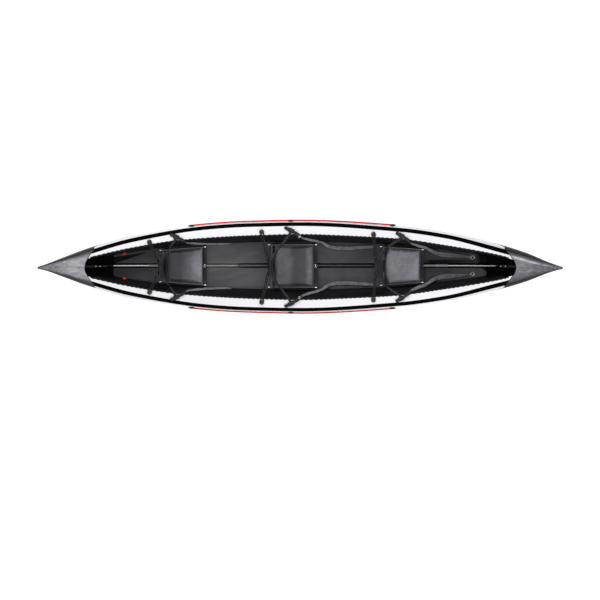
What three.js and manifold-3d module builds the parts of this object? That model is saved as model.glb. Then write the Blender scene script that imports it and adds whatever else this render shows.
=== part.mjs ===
// Folding kayak for three, with side air chambers, a jointed keel tube and sling seats.
// Millimetres. +X to the bow, +Y to port, +Z up. The origin is on the floor under the middle of the boat.
import * as THREE from 'three';
import { mergeVertices } from 'three/addons/utils/BufferGeometryUtils.js';
import Module from 'manifold-3d';

const wasm = await Module();
wasm.setup();

// Hull
const hullLength = 5350;
const hullBeam = 942;
const sheerBeam = 904;
const coamingBeam = 654;
const sheerHeight = 303;
const deckRiseHeight = 25;
const skinThickness = 3;
const bandSideWidth = 10;
const bandDeckWidth = 25;
const fitGap = 0.3;

// Floor, keel and stems
const matThickness = 25;
const matEdgeGap = 1;
const keelTubeRadius = 12.5;
const keelSleeveRadius = 16;
const keelSleeveLength = 130;
const keelChannelHalfWidth = 24;
const stemBoardThickness = 24;
const stemBoardHeight = 120;
const stemSocketLength = 60;

// Seats
const seatLength = 470;
const railTailLength = 30;
const railRadius = 8;
const railHeight = 104;
const ribThickness = 34;
const ribOverhangLength = 8;
const ribSagDepth = 28;
const ribLipWidth = 4;
const ribFootWidth = 60;
const ribArchHeight = 14;
const ribCrownWidth = 46;
const padRibGap = 4;
const padThickness = 25;
const padEdgeThickness = 6;
const padSagDepth = 10;

// Backrests
const backHeight = 338;
const backHalfWidth = 182;
const backArmDepth = 90;
const backPadBottomHeight = 70;
const backArmTopHeight = 264;
const backArmBottomHeight = 222;
const backThickness = 34;
const backArmThickness = 9;
const sleeveThickness = 4;
const sleeveLength = 120;
const tongueThickness = 8;
const tongueLapLength = 20;

// Webbing, cords and their fittings
const webbingThickness = 2.4;
const webbingWidth = 42;
const webbingLiftHeight = 2.5;
const backStrapWidth = 24;
const cordRadius = 3;
const cordHeight = 235;
const cordHalfWidth = 48;
const knobHeadRadius = 26;
const knobNeckRadius = 8;
const knobHeight = 22;
const knobFlangeRadius = 15;
const knobFlangeHeight = 4;
const buckleLength = 56;
const buckleWidth = 46;
const buckleThickness = 6;
const buckleBarWidth = 7;
const buckleLiftHeight = 7;
const bucklePostRadius = 14;
const ringRadius = 17;
const ringWireRadius = 3;
const ropeRadius = 5.5;
const patchRadius = 29;
const patchThickness = 3;
const eyeRadius = 15;
const eyeLength = 34;
const seatedDepth = 1;
const valveFlangeRadius = 26;
const valveFlangeHeight = 6;
const valveNeckRadius = 15;
const valveNeckHeight = 11;
const capRadius = 21;
const capHeight = 17;

const halfLength = hullLength / 2;
const cutMargin = 5;

// How finely round things are cut
const rodSideCount = 12;
const discSideCount = 12;
const ropeSideCount = 6;
const ropeStepCount = 16;
const cordSideCount = 6;
const cordStepCount = 16;
const loopSideCount = 10;
const endTubeStepCount = 11;

// Tables of shares. The first number of a pair is a place along the boat, from -1 at the stern to 1 at the bow.
const hullBreadthShares = [
  [-1, 0.02], [-0.973, 0.068], [-0.904, 0.217], [-0.812, 0.408], [-0.636, 0.688], [-0.36, 0.919],
  [-0.2, 0.975], [0.008, 1], [0.375, 0.892], [0.559, 0.756], [0.743, 0.522], [0.858, 0.327],
  [0.95, 0.117], [1, 0.02],
];
const sheerBreadthShares = [
  [-1, 0.014], [-0.973, 0.041], [-0.904, 0.164], [-0.812, 0.349], [-0.636, 0.644], [-0.36, 0.916],
  [-0.2, 0.978], [0.008, 1], [0.375, 0.872], [0.559, 0.719], [0.743, 0.441], [0.858, 0.251],
  [0.95, 0.082], [1, 0.014],
];
const coamingBreadthShares = [
  [-0.85, 0.2], [-0.789, 0.321], [-0.636, 0.596], [-0.452, 0.826], [-0.176, 0.966], [0.008, 1],
  [0.192, 0.948], [0.375, 0.862], [0.559, 0.654], [0.743, 0.391], [0.85, 0.17],
];
const sheerHeightShares = [
  [-1, 1.55], [-0.904, 1.36], [-0.805, 1.32], [-0.682, 1.21], [-0.575, 1.092], [-0.46, 1.02], [0, 1],
  [0.46, 1.026], [0.613, 1.129], [0.709, 1.228], [0.782, 1.32], [0.858, 1.4], [0.92, 1.48], [1, 1.68],
];
const keelHeightShares = [
  [-1, 1.38], [-0.989, 1.3], [-0.984, 1.135], [-0.978, 0.838], [-0.966, 0.568], [-0.949, 0.353],
  [-0.921, 0.244], [-0.881, 0.168], [-0.795, 0.096], [-0.636, 0], [0.598, 0], [0.754, 0.129],
  [0.871, 0.264], [0.93, 0.37], [0.957, 0.541], [0.976, 0.782], [0.984, 1.125], [0.991, 1.36], [1, 1.61],
];
const skinEdgeShares = [
  [-0.8, 1.31], [-0.757, 0.987], [-0.673, 0.845], [-0.59, 0.657], [-0.513, 0.548], [-0.425, 0.5],
  [-0.2, 0.41], [0.2, 0.41], [0.386, 0.475], [0.547, 0.64], [0.674, 0.775], [0.735, 0.934], [0.757, 1.06],
  [0.795, 1.31],
];
const bulgeHeightShares = [[-1, 0.8], [-0.6, 0.7], [0, 0.66], [0.6, 0.7], [1, 0.8]];
const flatBottomShares = [
  [-1, 0.05], [-0.92, 0.1], [-0.8, 0.3], [-0.636, 0.5], [-0.2, 0.64], [0.2, 0.64], [0.6, 0.5], [0.8, 0.28],
  [0.93, 0.08], [1, 0.05],
];
const fullnessShares = [[-1, 0.2], [-0.85, 0.35], [-0.5, 0.62], [0.5, 0.62], [0.85, 0.35], [1, 0.2]];
const deckRiseShares = [[-0.85, 0.4], [-0.4, 1], [0.5, 1], [0.85, 0.75]];

// Places round the section where its parts meet
const widestShare = 1;
const sheerShare = 2;
const matEdgeShare = 2;

// Shares that shape the section
const floorShare = 0.77;
const upperHandleShare = 0.6;
const sheerHandleShare = 0.45;
const sheerDropShare = 0.14;
const deckCrownShare = 0.85;
const wallTuckShare = 0.25;
const wallTopShare = 0.62;
const coamingLimitShare = 0.8;

// The ends of the covers, seen from above, are hollow curves that sweep towards the middle at the sides.
const openingShares = { stern: -0.829, bow: 0.825 };
const coverSweepShare = 0.036;
const crownShares = { stern: 0.09, bow: 0.2 };
const stepShare = 0.001;
const coverSideShares = {
  stern: openingShares.stern + coverSweepShare,
  bow: openingShares.bow - coverSweepShare,
};
const bandEndShares = {
  stern: coverSideShares.stern + 2 * stepShare,
  bow: coverSideShares.bow - 2 * stepShare,
};
const panelEndShares = { stern: -0.785, bow: 0.781 };
const hollowEndShares = { stern: -0.956, bow: 0.956 };
const matEndShares = { stern: -0.72, bow: 0.72 };

// Places of the seats, and of what holds their backrests to the deck
const seatPlaceShares = [-0.5286, -0.1092, 0.3222];
const seatLengthShares = [1, 1.047, 0.93];
const padSetbackShares = [0.087, 0.077, 0.034];
const seatReclineDegrees = [3, 3, 17];
const seatWidthShare = 0.89;
const knobPlaceShares = [-0.5755, -0.1467, 0.2808];
const knobDeckShare = 0.68;
const keelJointShares = [-0.561, -0.218, 0.548];
const keelFittingShare = 0.153;
const ropeHeightShare = 0.848;
const ropePlaceShares = [-0.4138, -0.0355, 0.3525];
const stemBoardShares = { stern: -0.742, bow: 0.778 };
const stemBoardSetbackShare = 0.02;
const boardHoleShares = [0.22, 0.46, 0.7];
const boardHoleRadiusShare = 0.154;
const valvePlaceShare = -0.677;
const valveHeightShare = 0.32;

// Webbing routes: a place along the boat, a place over the inside, a lift over it in webbing lifts and a share of
// the webbing's width. Along the boat, 0 is the hinge, 1 the front of the rails and 2 the next seat or the end of
// the mats. Over the inside, 0 is the sheer, 1 the coaming edge, 2 the edge of the mat and 3 the keel channel.
const webbingRouteShares = [
  [[0.192, 0.3, 4, 0.6], [0.338, 0.6, 5, 0.7], [0.423, 0.82, 5, 0.75], [0.484, 0.97, 6, 0.8],
    [0.527, 1.04, 5, 0.85], [0.63, 1.28, 1.8, 1], [1, 1.55, 1.8, 1], [1.222, 1.74, 1.8, 1],
    [1.411, 1.86, 1.8, 1]],
  [[0.284, 0.38, 4, 0.6], [0.441, 0.63, 5, 0.7], [0.54, 0.84, 5, 0.75], [0.592, 0.97, 6, 0.8],
    [0.633, 1.04, 5, 0.85], [0.748, 1.3, 1.8, 1.1], [0.991, 1.56, 1.8, 1.1], [1.091, 1.78, 3.5, 1],
    [1.196, 2.22, 4, 1], [1.309, 2.28, 1.8, 1.1], [1.511, 2.28, 1.8, 1.1], [1.713, 2.22, 1.8, 1],
    [1.891, 2.17, 1.8, 0.9]],
  [[0.288, 0.42, 4, 0.6], [0.433, 0.63, 5, 0.7], [0.538, 0.84, 5, 0.75], [0.603, 0.97, 6, 0.8],
    [0.643, 1.04, 5, 0.85], [0.747, 1.28, 1.8, 1.1], [1.006, 1.56, 2, 1.3], [1.08, 1.76, 4, 1.1],
    [1.206, 2.3, 5, 1.1], [1.316, 2.38, 2, 1.4], [1.43, 2.38, 1.8, 1.4], [1.593, 2.38, 1.8, 1],
    [1.756, 2.4, 1.8, 0.68]],
];

const colours = {
  skin: 0x2b2a2b, panel: 0xf4f4f5, band: 0x0d0d0e, cover: 0x4c4c50, chamber: 0x141416, mat: 0x37383b,
  tube: 0xb9bcc0, black: 0x101011, pad: 0x3a3a3f, webbing: 0x2a2a2d, rope: 0xc9202e, cap: 0xe63322,
};

const kayak = new THREE.Group();

function addPart(name, geometry, colour, roughness = 0.7, metalness = 0) {
  const material = new THREE.MeshStandardMaterial({ color: colour, roughness, metalness });
  const mesh = new THREE.Mesh(geometry, material);
  mesh.name = name;
  kayak.add(mesh);
  return mesh;
}

const sides = [['port', 1], ['starboard', -1]];
const lerp = (a, b, t) => a + (b - a) * t;
const flatPoint = (y, z) => new THREE.Vector2(y, z);
const onSide = (side, x, p) => new THREE.Vector3(x, side * p.x, p.y);
const inRange = (at, ends) => at >= ends.stern - 1e-9 && at <= ends.bow + 1e-9;

function stations(from, to, count) {
  return Array.from({ length: count + 1 }, (_, i) => lerp(from, to, i / count));
}

// A smooth curve through a table of shares that never overshoots its points.
function follow(shares, at) {
  const last = shares.length - 1;
  if (at <= shares[0][0]) return shares[0][1];
  if (at >= shares[last][0]) return shares[last][1];
  let k = 0;
  while (at > shares[k + 1][0]) k += 1;
  const slope = (i) => (shares[i + 1][1] - shares[i][1]) / (shares[i + 1][0] - shares[i][0]);
  const tangent = (i) => {
    if (i === 0 || i === last) return slope(Math.min(i, last - 1));
    const before = slope(i - 1);
    const after = slope(i);
    return before * after <= 0 ? 0 : (2 * before * after) / (before + after);
  };
  const span = shares[k + 1][0] - shares[k][0];
  const t = (at - shares[k][0]) / span;
  const rest = 1 - t;
  const start = shares[k][1] * (1 + 2 * t) + tangent(k) * span * t;
  const end = shares[k + 1][1] * (3 - 2 * t) - tangent(k + 1) * span * rest;
  return start * rest * rest + end * t * t;
}

function bisect(reached, low, high) {
  let a = low;
  let b = high;
  for (let i = 0; i < 40; i += 1) {
    const middle = (a + b) / 2;
    if (reached(middle)) b = middle;
    else a = middle;
  }
  return (a + b) / 2;
}

// The sizes of the boat's section at a place along it.
function sectionSizes(at) {
  const keel = sheerHeight * follow(keelHeightShares, at);
  const sheer = sheerHeight * follow(sheerHeightShares, at);
  const bulge = (hullBeam / 2) * follow(hullBreadthShares, at);
  const edge = (sheerBeam / 2) * follow(sheerBreadthShares, at);
  const coaming = Math.min((coamingBeam / 2) * follow(coamingBreadthShares, at), coamingLimitShare * edge);
  return {
    keel,
    sheer,
    bulge,
    edge,
    coaming,
    flat: bulge * follow(flatBottomShares, at),
    bulgeHeight: lerp(keel, sheer, follow(bulgeHeightShares, at)),
    coamingHeight: sheer + deckRiseHeight * follow(deckRiseShares, at),
    fullness: follow(fullnessShares, at),
    floor: floorShare * coaming,
    matTop: keel + skinThickness + fitGap + matThickness,
  };
}

// Round the outside: -1 is the keel line, 0 the end of the flat, 1 the widest point and 2 the sheer.
function sideAt(at, place) {
  const s = sectionSizes(at);
  if (place <= 0) return flatPoint(s.flat * (1 + place), s.keel);
  if (place <= widestShare) {
    return new THREE.CubicBezierCurve(
      flatPoint(s.flat, s.keel),
      flatPoint(lerp(s.flat, s.bulge, s.fullness), s.keel),
      flatPoint(s.bulge, lerp(s.bulgeHeight, s.keel, s.fullness)),
      flatPoint(s.bulge, s.bulgeHeight),
    ).getPoint(place);
  }
  return new THREE.CubicBezierCurve(
    flatPoint(s.bulge, s.bulgeHeight),
    flatPoint(s.bulge, lerp(s.bulgeHeight, s.sheer, upperHandleShare)),
    flatPoint(lerp(s.edge, s.bulge, sheerHandleShare), lerp(s.sheer, s.bulgeHeight, sheerDropShare)),
    flatPoint(s.edge, s.sheer),
  ).getPoint(place - widestShare);
}

// Over the side deck: 0 is the sheer and 1 the coaming edge.
function deckAt(at, place) {
  const s = sectionSizes(at);
  return new THREE.QuadraticBezierCurve(
    flatPoint(s.edge, s.sheer),
    flatPoint((s.edge + s.coaming) / 2, lerp(s.sheer, s.coamingHeight, deckCrownShare)),
    flatPoint(s.coaming, s.coamingHeight),
  ).getPoint(place);
}

// Down the cockpit side: 0 is under the coaming edge and 1 the edge of the floor mat.
function wallAt(at, place) {
  const s = sectionSizes(at);
  const top = s.coamingHeight - skinThickness - fitGap;
  return new THREE.QuadraticBezierCurve(
    flatPoint(s.coaming + matEdgeGap, top),
    flatPoint(lerp(s.floor, s.coaming, wallTuckShare), lerp(s.matTop, top, wallTopShare)),
    flatPoint(s.floor, s.matTop),
  ).getPoint(place);
}

// Over the mat: 0 is its outer edge and 1 the keel channel.
function matAt(at, place) {
  const s = sectionSizes(at);
  return flatPoint(lerp(s.floor, keelChannelHalfWidth, place), s.matTop);
}

// Moves a point of a section curve to the left of the curve's direction by a distance.
function inset(curveAt, at, place, distance) {
  const step = 1e-4;
  const along = curveAt(at, place + step).sub(curveAt(at, place - step)).normalize();
  const here = curveAt(at, place);
  return flatPoint(here.x - along.y * distance, here.y + along.x * distance);
}

// A place further along a section curve by a distance.
function further(curveAt, at, place, distance) {
  const step = 1e-3;
  const speed = curveAt(at, place + step).distanceTo(curveAt(at, place - step)) / (2 * step);
  return place + distance / speed;
}

const placeAtHeight = (at, height) => bisect((place) => sideAt(at, place).y >= height, 0, sheerShare);
const bandLowPlace = (at) => placeAtHeight(at, sectionSizes(at).sheer - bandSideWidth);
const bandDeckPlace = (at) => further(deckAt, at, 0, bandDeckWidth);

// How far up the outside the dark skin reaches.
function skinTopPlace(at) {
  if (at <= coverSideShares.stern || at >= coverSideShares.bow) return sheerShare;
  const underBand = further(sideAt, at, bandLowPlace(at), -fitGap);
  if (!inRange(at, panelEndShares)) return underBand;
  return Math.min(placeAtHeight(at, sheerHeight * follow(skinEdgeShares, at)), underBand);
}

const hullStations = [
  -1, -0.989, -0.982, -0.972, -0.956, -0.93, -0.88, -0.83,
  coverSideShares.stern, coverSideShares.stern + stepShare, bandEndShares.stern,
  panelEndShares.stern - stepShare, panelEndShares.stern, -0.757, -0.72, -0.673, -0.6, -0.513,
  ...stations(-0.42, 0.42, 6), 0.513, 0.6, 0.674, 0.72, 0.757,
  panelEndShares.bow, panelEndShares.bow + stepShare,
  bandEndShares.bow, coverSideShares.bow - stepShare, coverSideShares.bow,
  0.83, 0.88, 0.93, 0.956, 0.972, 0.983, 0.991, 1,
];
const stationsWithin = (ends) => hullStations.filter((at) => inRange(at, ends));

// Turns a list of triangles the right way round and makes a geometry of it.
function solidGeometry(points, triangles) {
  let volume = 0;
  triangles.forEach(([a, b, c]) => {
    volume += points[a].dot(points[b].clone().cross(points[c]));
  });
  const geometry = new THREE.BufferGeometry();
  const places = points.flatMap((p) => [p.x, p.y, p.z]);
  geometry.setAttribute('position', new THREE.Float32BufferAttribute(places, 3));
  geometry.setIndex(triangles.flatMap(([a, b, c]) => (volume < 0 ? [c, b, a] : [a, b, c])));
  return geometry;
}

function capTriangles(ring) {
  const normal = new THREE.Vector3();
  ring.forEach((p, j) => {
    const q = ring[(j + 1) % ring.length];
    normal.x += (p.y - q.y) * (p.z + q.z);
    normal.y += (p.z - q.z) * (p.x + q.x);
    normal.z += (p.x - q.x) * (p.y + q.y);
  });
  normal.normalize();
  const across = ring[1].clone().sub(ring[0]).projectOnPlane(normal).normalize();
  const up = new THREE.Vector3().crossVectors(normal, across);
  return THREE.ShapeUtils.triangulateShape(ring.map((p) => flatPoint(p.dot(across), p.dot(up))), []);
}

// A closed solid through rings of points that all have the same count, with both ends capped. Each quad is
// split from its lower rear corner, so that sheets laid on each other split alike.
function loft(rings) {
  const count = rings[0].length;
  const points = rings.flat();
  const triangles = [];
  const order = (p) => p.z + stepShare * Math.abs(p.y);
  for (let i = 0; i < rings.length - 1; i += 1) {
    for (let j = 0; j < count; j += 1) {
      const a = i * count + j;
      const b = i * count + ((j + 1) % count);
      const c = b + count;
      const d = a + count;
      if (order(points[a]) <= order(points[b])) triangles.push([a, b, c], [a, c, d]);
      else triangles.push([a, b, d], [b, c, d]);
    }
  }
  const last = (rings.length - 1) * count;
  capTriangles(rings[0]).forEach(([a, b, c]) => triangles.push([c, b, a]));
  capTriangles(rings[rings.length - 1]).forEach(([a, b, c]) => triangles.push([last + a, last + b, last + c]));
  return solidGeometry(points, triangles);
}

// A sheet of fabric: rows gives its points at a station, moved in by a distance.
function sheetLoft(places, rows) {
  return loft(places.map((at) => [...rows(at, 0), ...rows(at, skinThickness).reverse()]));
}

function toSolid(geometry) {
  const bare = geometry.clone();
  bare.deleteAttribute('normal');
  bare.deleteAttribute('uv');
  const merged = mergeVertices(bare);
  const vertProperties = new Float32Array(merged.attributes.position.array);
  const triVerts = new Uint32Array(merged.index.array.reduce((kept, _, i, index) => {
    const [a, b, c] = [index[i], index[i + 1], index[i + 2]];
    if (i % 3 === 0 && a !== b && b !== c && c !== a) kept.push(a, b, c);
    return kept;
  }, []));
  return new wasm.Manifold(new wasm.Mesh({ numProp: 3, vertProperties, triVerts }));
}

function fromSolid(solid) {
  const mesh = solid.getMesh();
  const geometry = new THREE.BufferGeometry();
  geometry.setAttribute('position', new THREE.Float32BufferAttribute(mesh.vertProperties, 3));
  geometry.setIndex(Array.from(mesh.triVerts));
  return geometry;
}

const join = (...shapes) => fromSolid(shapes.map(toSolid).reduce((all, one) => all.add(one)));
const common = (a, b) => fromSolid(toSolid(a).intersect(toSolid(b)));
const cut = (body, ...tools) => fromSolid(
  tools.reduce((left, tool) => left.subtract(toSolid(tool)), toSolid(body)),
);

// A bore that clears a round rod even where the flats of both meet the corners of the other.
const clearRadius = (radius, count) => (radius + fitGap) / Math.cos(Math.PI / count);
const rodBore = (radius) => clearRadius(radius, rodSideCount);

// A straight rod between two points.
function rod(from, to, radius) {
  const along = to.clone().sub(from);
  const geometry = new THREE.CylinderGeometry(radius, radius, along.length(), rodSideCount);
  const turn = new THREE.Quaternion().setFromUnitVectors(new THREE.Vector3(0, 1, 0), along.normalize());
  geometry.applyQuaternion(turn);
  const middle = from.clone().add(to).divideScalar(2);
  geometry.translate(middle.x, middle.y, middle.z);
  return geometry;
}

// A disc that stands on the XY plane, from a bottom height to a top height.
function disc(radius, bottom, top) {
  const geometry = new THREE.CylinderGeometry(radius, radius, top - bottom, discSideCount);
  geometry.rotateX(Math.PI / 2);
  geometry.translate(0, 0, (top + bottom) / 2);
  return geometry;
}

// A rod with a polygon section that follows a path.
function pathRod(path, radius, count, steps) {
  const corners = Array.from({ length: count }, (_, i) => {
    const angle = (2 * Math.PI * i) / count;
    return flatPoint(radius * Math.cos(angle), radius * Math.sin(angle));
  });
  const outline = new THREE.Shape(corners);
  return new THREE.ExtrudeGeometry(outline, { extrudePath: path, steps, bevelEnabled: false });
}

// A bent rod along a smooth curve through points.
function bentRod(points, radius, count, steps) {
  return pathRod(new THREE.CatmullRomCurve3(points, false, 'centripetal'), radius, count, steps);
}

// A flat strip: each station has a centre, the direction of its width and its outward normal.
function strip(stops, thickness) {
  return loft(stops.map(({ centre, across, normal, width }) => {
    const half = across.clone().multiplyScalar(width / 2);
    const rise = normal.clone().multiplyScalar(thickness / 2);
    return [
      centre.clone().add(half).add(rise), centre.clone().sub(half).add(rise),
      centre.clone().sub(half).sub(rise), centre.clone().add(half).sub(rise),
    ];
  }));
}

// Stands a shape made on the XY plane, +Z out, on a surface point with its +X towards a heading.
function standOn(geometry, origin, normal, heading) {
  const x = heading.clone().projectOnPlane(normal).normalize();
  const y = new THREE.Vector3().crossVectors(normal, x);
  const frame = new THREE.Matrix4().makeBasis(x, y, normal).setPosition(origin);
  return geometry.applyMatrix4(frame);
}

// Where a ray meets a part, with the flat facet's own normal.
function meet(mesh, from, direction) {
  mesh.updateMatrixWorld();
  mesh.geometry.computeBoundingSphere();
  const hit = new THREE.Raycaster(from, direction.clone().normalize()).intersectObject(mesh)[0];
  return { point: hit.point, normal: hit.face.normal.clone() };
}

function nearest(meshes, from, direction) {
  meshes.forEach((mesh) => mesh.geometry.computeBoundingSphere());
  return new THREE.Raycaster(from, direction).intersectObjects(meshes)[0].point;
}

const bow = new THREE.Vector3(1, 0, 0);
const down = new THREE.Vector3(0, 0, -1);

// Rows of places round the section. The skin, the panel, the band and the deck share them with what lies inside.
const lowerShares = [0.2, 0.4, 0.6, 0.8, 1];
const skinPlaces = (at) => [-1, 0, ...lowerShares.map((share) => share * skinTopPlace(at))];
const panelPlaces = (at) => {
  const low = further(sideAt, at, skinTopPlace(at), fitGap / 2);
  const high = further(sideAt, at, bandLowPlace(at), -fitGap / 2);
  return stations(low, Math.max(high, low + stepShare), 3);
};
const bandPlaces = (at) => stations(bandLowPlace(at), sheerShare, 2);
const deckPlaces = (at) => stations(further(deckAt, at, bandDeckPlace(at), fitGap), 1, 3);

// Hull skin: the dark outside below the white panels, carried up to the sheer at both ends.
function skinRing(at, distance, topPoint) {
  const half = [...skinPlaces(at).map((place) => inset(sideAt, at, place, distance)), topPoint(at)];
  half[0].x = 0;
  const port = half.map((p) => onSide(1, at * halfLength, p));
  const starboard = half.slice(1).map((p) => onSide(-1, at * halfLength, p));
  return [...port.reverse(), ...starboard];
}

const skinTopInside = (at) => inset(sideAt, at, skinTopPlace(at), skinThickness);
const aboveSkinTop = (at) => skinTopInside(at).add(flatPoint(0, cutMargin));
const hollowStations = stationsWithin(hollowEndShares);
const skinHollow = loft(hollowStations.map((at) => skinRing(at, skinThickness, aboveSkinTop)));
const skinBlock = loft(hullStations.map((at) => skinRing(at, 0, skinTopInside)));
addPart('hull_skin', cut(skinBlock, skinHollow), colours.skin, 0.55);

// The room inside the skin, the panels, the bands and the decks, between the covers.
function roomRing(at) {
  const distance = skinThickness + fitGap;
  const half = [
    ...skinPlaces(at).map((place) => inset(sideAt, at, place, distance)),
    ...panelPlaces(at).map((place) => inset(sideAt, at, place, distance)),
    ...bandPlaces(at).slice(0, -1).map((place) => inset(sideAt, at, place, distance)),
    cornerPoint(at, distance),
    inset(deckAt, at, bandDeckPlace(at), distance),
    ...deckPlaces(at).map((place) => inset(deckAt, at, place, distance)),
  ];
  half[0].x = 0;
  const port = half.map((p) => onSide(1, at * halfLength, p));
  const starboard = half.slice(1).map((p) => onSide(-1, at * halfLength, p));
  return [...port.reverse(), ...starboard];
}

// The sheer's corner, moved inside by a distance from both the side and the deck.
function cornerPoint(at, distance) {
  const fromSide = inset(sideAt, at, sheerShare - stepShare, distance);
  const fromDeck = inset(deckAt, at, stepShare, distance);
  return fromSide.add(fromDeck).divideScalar(2);
}

const room = loft(stationsWithin(bandEndShares).map(roomRing));

// White side panels, with the welded patches and eyes that carry the deck line.
const ropeHeight = ropeHeightShare * sheerHeight;
const ropeEyes = ropePlaceShares.map((share) => share * halfLength);

function ropePoint(side, x, lift) {
  const at = x / halfLength;
  return onSide(side, x, inset(sideAt, at, placeAtHeight(at, ropeHeight), -lift));
}

function patchAndEye(panel, side, x) {
  const outside = new THREE.Vector3(x, side * hullBeam, ropeHeight);
  const seat = meet(new THREE.Mesh(panel), outside, new THREE.Vector3(0, -side, 0));
  const patch = disc(patchRadius, -seatedDepth, patchThickness);
  const halfEye = new THREE.Vector3(eyeLength / 2, 0, 0);
  const eye = rod(halfEye.clone().negate(), halfEye, eyeRadius);
  eye.translate(0, 0, patchThickness);
  const behind = disc(eyeLength, -2 * eyeRadius, -seatedDepth);
  const ahead = ropePoint(side, x + eyeLength, 0).sub(ropePoint(side, x, 0));
  return standOn(cut(join(patch, eye), behind), seat.point, seat.normal, ahead);
}

const ropeLift = patchThickness + ropeRadius + fitGap;

function ropeRoute(side, overrun) {
  const places = stations(ropeEyes[0] - overrun, ropeEyes[2] + overrun, 8);
  return places.map((x) => ropePoint(side, x, ropeLift));
}

sides.forEach(([name, side]) => {
  const rows = (at, distance) => panelPlaces(at).map((place) => (
    onSide(side, at * halfLength, inset(sideAt, at, place, distance))
  ));
  const panel = sheetLoft(stationsWithin(panelEndShares), rows);
  const fittings = ropeEyes.map((x) => patchAndEye(panel, side, x));
  const boreRadius = clearRadius(ropeRadius, ropeSideCount);
  const bore = bentRod(ropeRoute(side, fitGap), boreRadius, ropeSideCount, ropeStepCount);
  const rope = bentRod(ropeRoute(side, 0), ropeRadius, ropeSideCount, ropeStepCount);
  addPart(`side_panel_${name}`, cut(join(panel, ...fittings), bore), colours.panel, 0.45);
  addPart(`deck_line_${name}`, rope, colours.rope, 0.8);
});

// The black band along the sheer.
sides.forEach(([name, side]) => {
  const rows = (at, distance) => [
    ...bandPlaces(at).slice(0, -1).map((place) => inset(sideAt, at, place, distance)),
    cornerPoint(at, distance),
    inset(deckAt, at, bandDeckPlace(at), distance),
  ].map((p) => onSide(side, at * halfLength, p));
  const band = sheetLoft(stationsWithin(bandEndShares), rows);
  addPart(`sheer_band_${name}`, band, colours.band, 0.5);
});

// The white side decks. Their ends follow the hollow edges of the covers.
function deckEndStation(at, place) {
  if (at !== bandEndShares.stern && at !== bandEndShares.bow) return at;
  const end = at < 0 ? 'stern' : 'bow';
  const s = sectionSizes(at);
  const across = lerp(s.edge, s.coaming, place) / s.edge;
  return at + (openingShares[end] - coverSideShares[end]) * (1 - across * across);
}

const deckMeshes = {};
sides.forEach(([name, side]) => {
  const rows = (at, distance) => deckPlaces(at).map((place) => {
    const here = deckEndStation(at, place);
    return onSide(side, here * halfLength, inset(deckAt, here, place, distance));
  });
  const deck = sheetLoft(stationsWithin(bandEndShares), rows);
  deckMeshes[name] = addPart(`side_deck_${name}`, deck, colours.panel, 0.45);
});

// The crowned covers over both tips.
function endCover(end) {
  const outward = Math.sign(openingShares[end]);
  const all = hullStations.filter((at) => at * outward >= coverSideShares[end] * outward - 1e-9);
  const along = outward < 0 ? all.reverse() : all;
  const acrossShares = stations(-1, 1, 8);
  const row = (at, k, lift) => acrossShares.map((across) => {
    const hollow = outward * coverSweepShare * (1 - across * across) * Math.max(0, 1 - k / 2);
    const here = at + hollow;
    const s = sectionSizes(here);
    const crown = crownShares[end] * s.edge * (1 - across * across);
    return new THREE.Vector3(here * halfLength, across * s.edge, s.sheer + fitGap + crown + lift);
  });
  return loft(along.map((at, k) => [...row(at, k, skinThickness), ...row(at, k, 0).reverse()]));
}

addPart('stern_cover', endCover('stern'), colours.cover, 0.5);
addPart('bow_cover', endCover('bow'), colours.cover, 0.5);

// Air chambers: each fills the side of the room, down the cockpit wall to the floor mat.
function chamberRegion(side) {
  return loft(stationsWithin(panelEndShares).map((at) => {
    const s = sectionSizes(at);
    const above = s.coamingHeight + skinThickness + cutMargin;
    const below = s.keel - cutMargin;
    const wall = stations(0, 1, 5).map((place) => wallAt(at, place));
    return [
      ...wall, flatPoint(s.floor, below), flatPoint(s.bulge + cutMargin, below),
      flatPoint(s.bulge + cutMargin, above), flatPoint(wall[0].x, above),
    ].map((p) => onSide(side, at * halfLength, p));
  }));
}

function valvePlace(name, side) {
  const at = valvePlaceShare;
  const s = sectionSizes(at);
  const height = lerp(s.matTop, s.coamingHeight, valveHeightShare);
  const from = new THREE.Vector3(at * halfLength, 0, height);
  return meet(chamberMeshes[name], from, new THREE.Vector3(0, side, 0));
}

const chamberMeshes = {};
sides.forEach(([name, side]) => {
  const chamber = common(room, chamberRegion(side));
  chamberMeshes[name] = new THREE.Mesh(chamber, new THREE.MeshStandardMaterial());
  const seat = valvePlace(name, side);
  const flange = disc(valveFlangeRadius, -seatedDepth, valveFlangeHeight);
  const neck = disc(valveNeckRadius, -seatedDepth, valveFlangeHeight + valveNeckHeight);
  const valve = standOn(join(flange, neck), seat.point, seat.normal, bow);
  addPart(`air_chamber_${name}`, join(chamber, valve), colours.chamber, 0.6);

  const socket = clearRadius(valveNeckRadius, discSideCount);
  const capProfile = [
    flatPoint(0, valveNeckHeight + fitGap), flatPoint(socket, valveNeckHeight + fitGap), flatPoint(socket, 0),
    flatPoint(capRadius, 0), flatPoint(capRadius, capHeight - 2 * seatedDepth),
    flatPoint(capRadius - 2 * seatedDepth, capHeight), flatPoint(0, capHeight),
  ];
  const cap = new THREE.LatheGeometry(capProfile, discSideCount);
  cap.rotateX(Math.PI / 2);
  cap.translate(0, 0, valveFlangeHeight + fitGap);
  standOn(cap, seat.point, seat.normal, bow);
  addPart(`valve_cap_${name}`, fromSolid(toSolid(cap)), colours.cap, 0.4);
});

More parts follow.
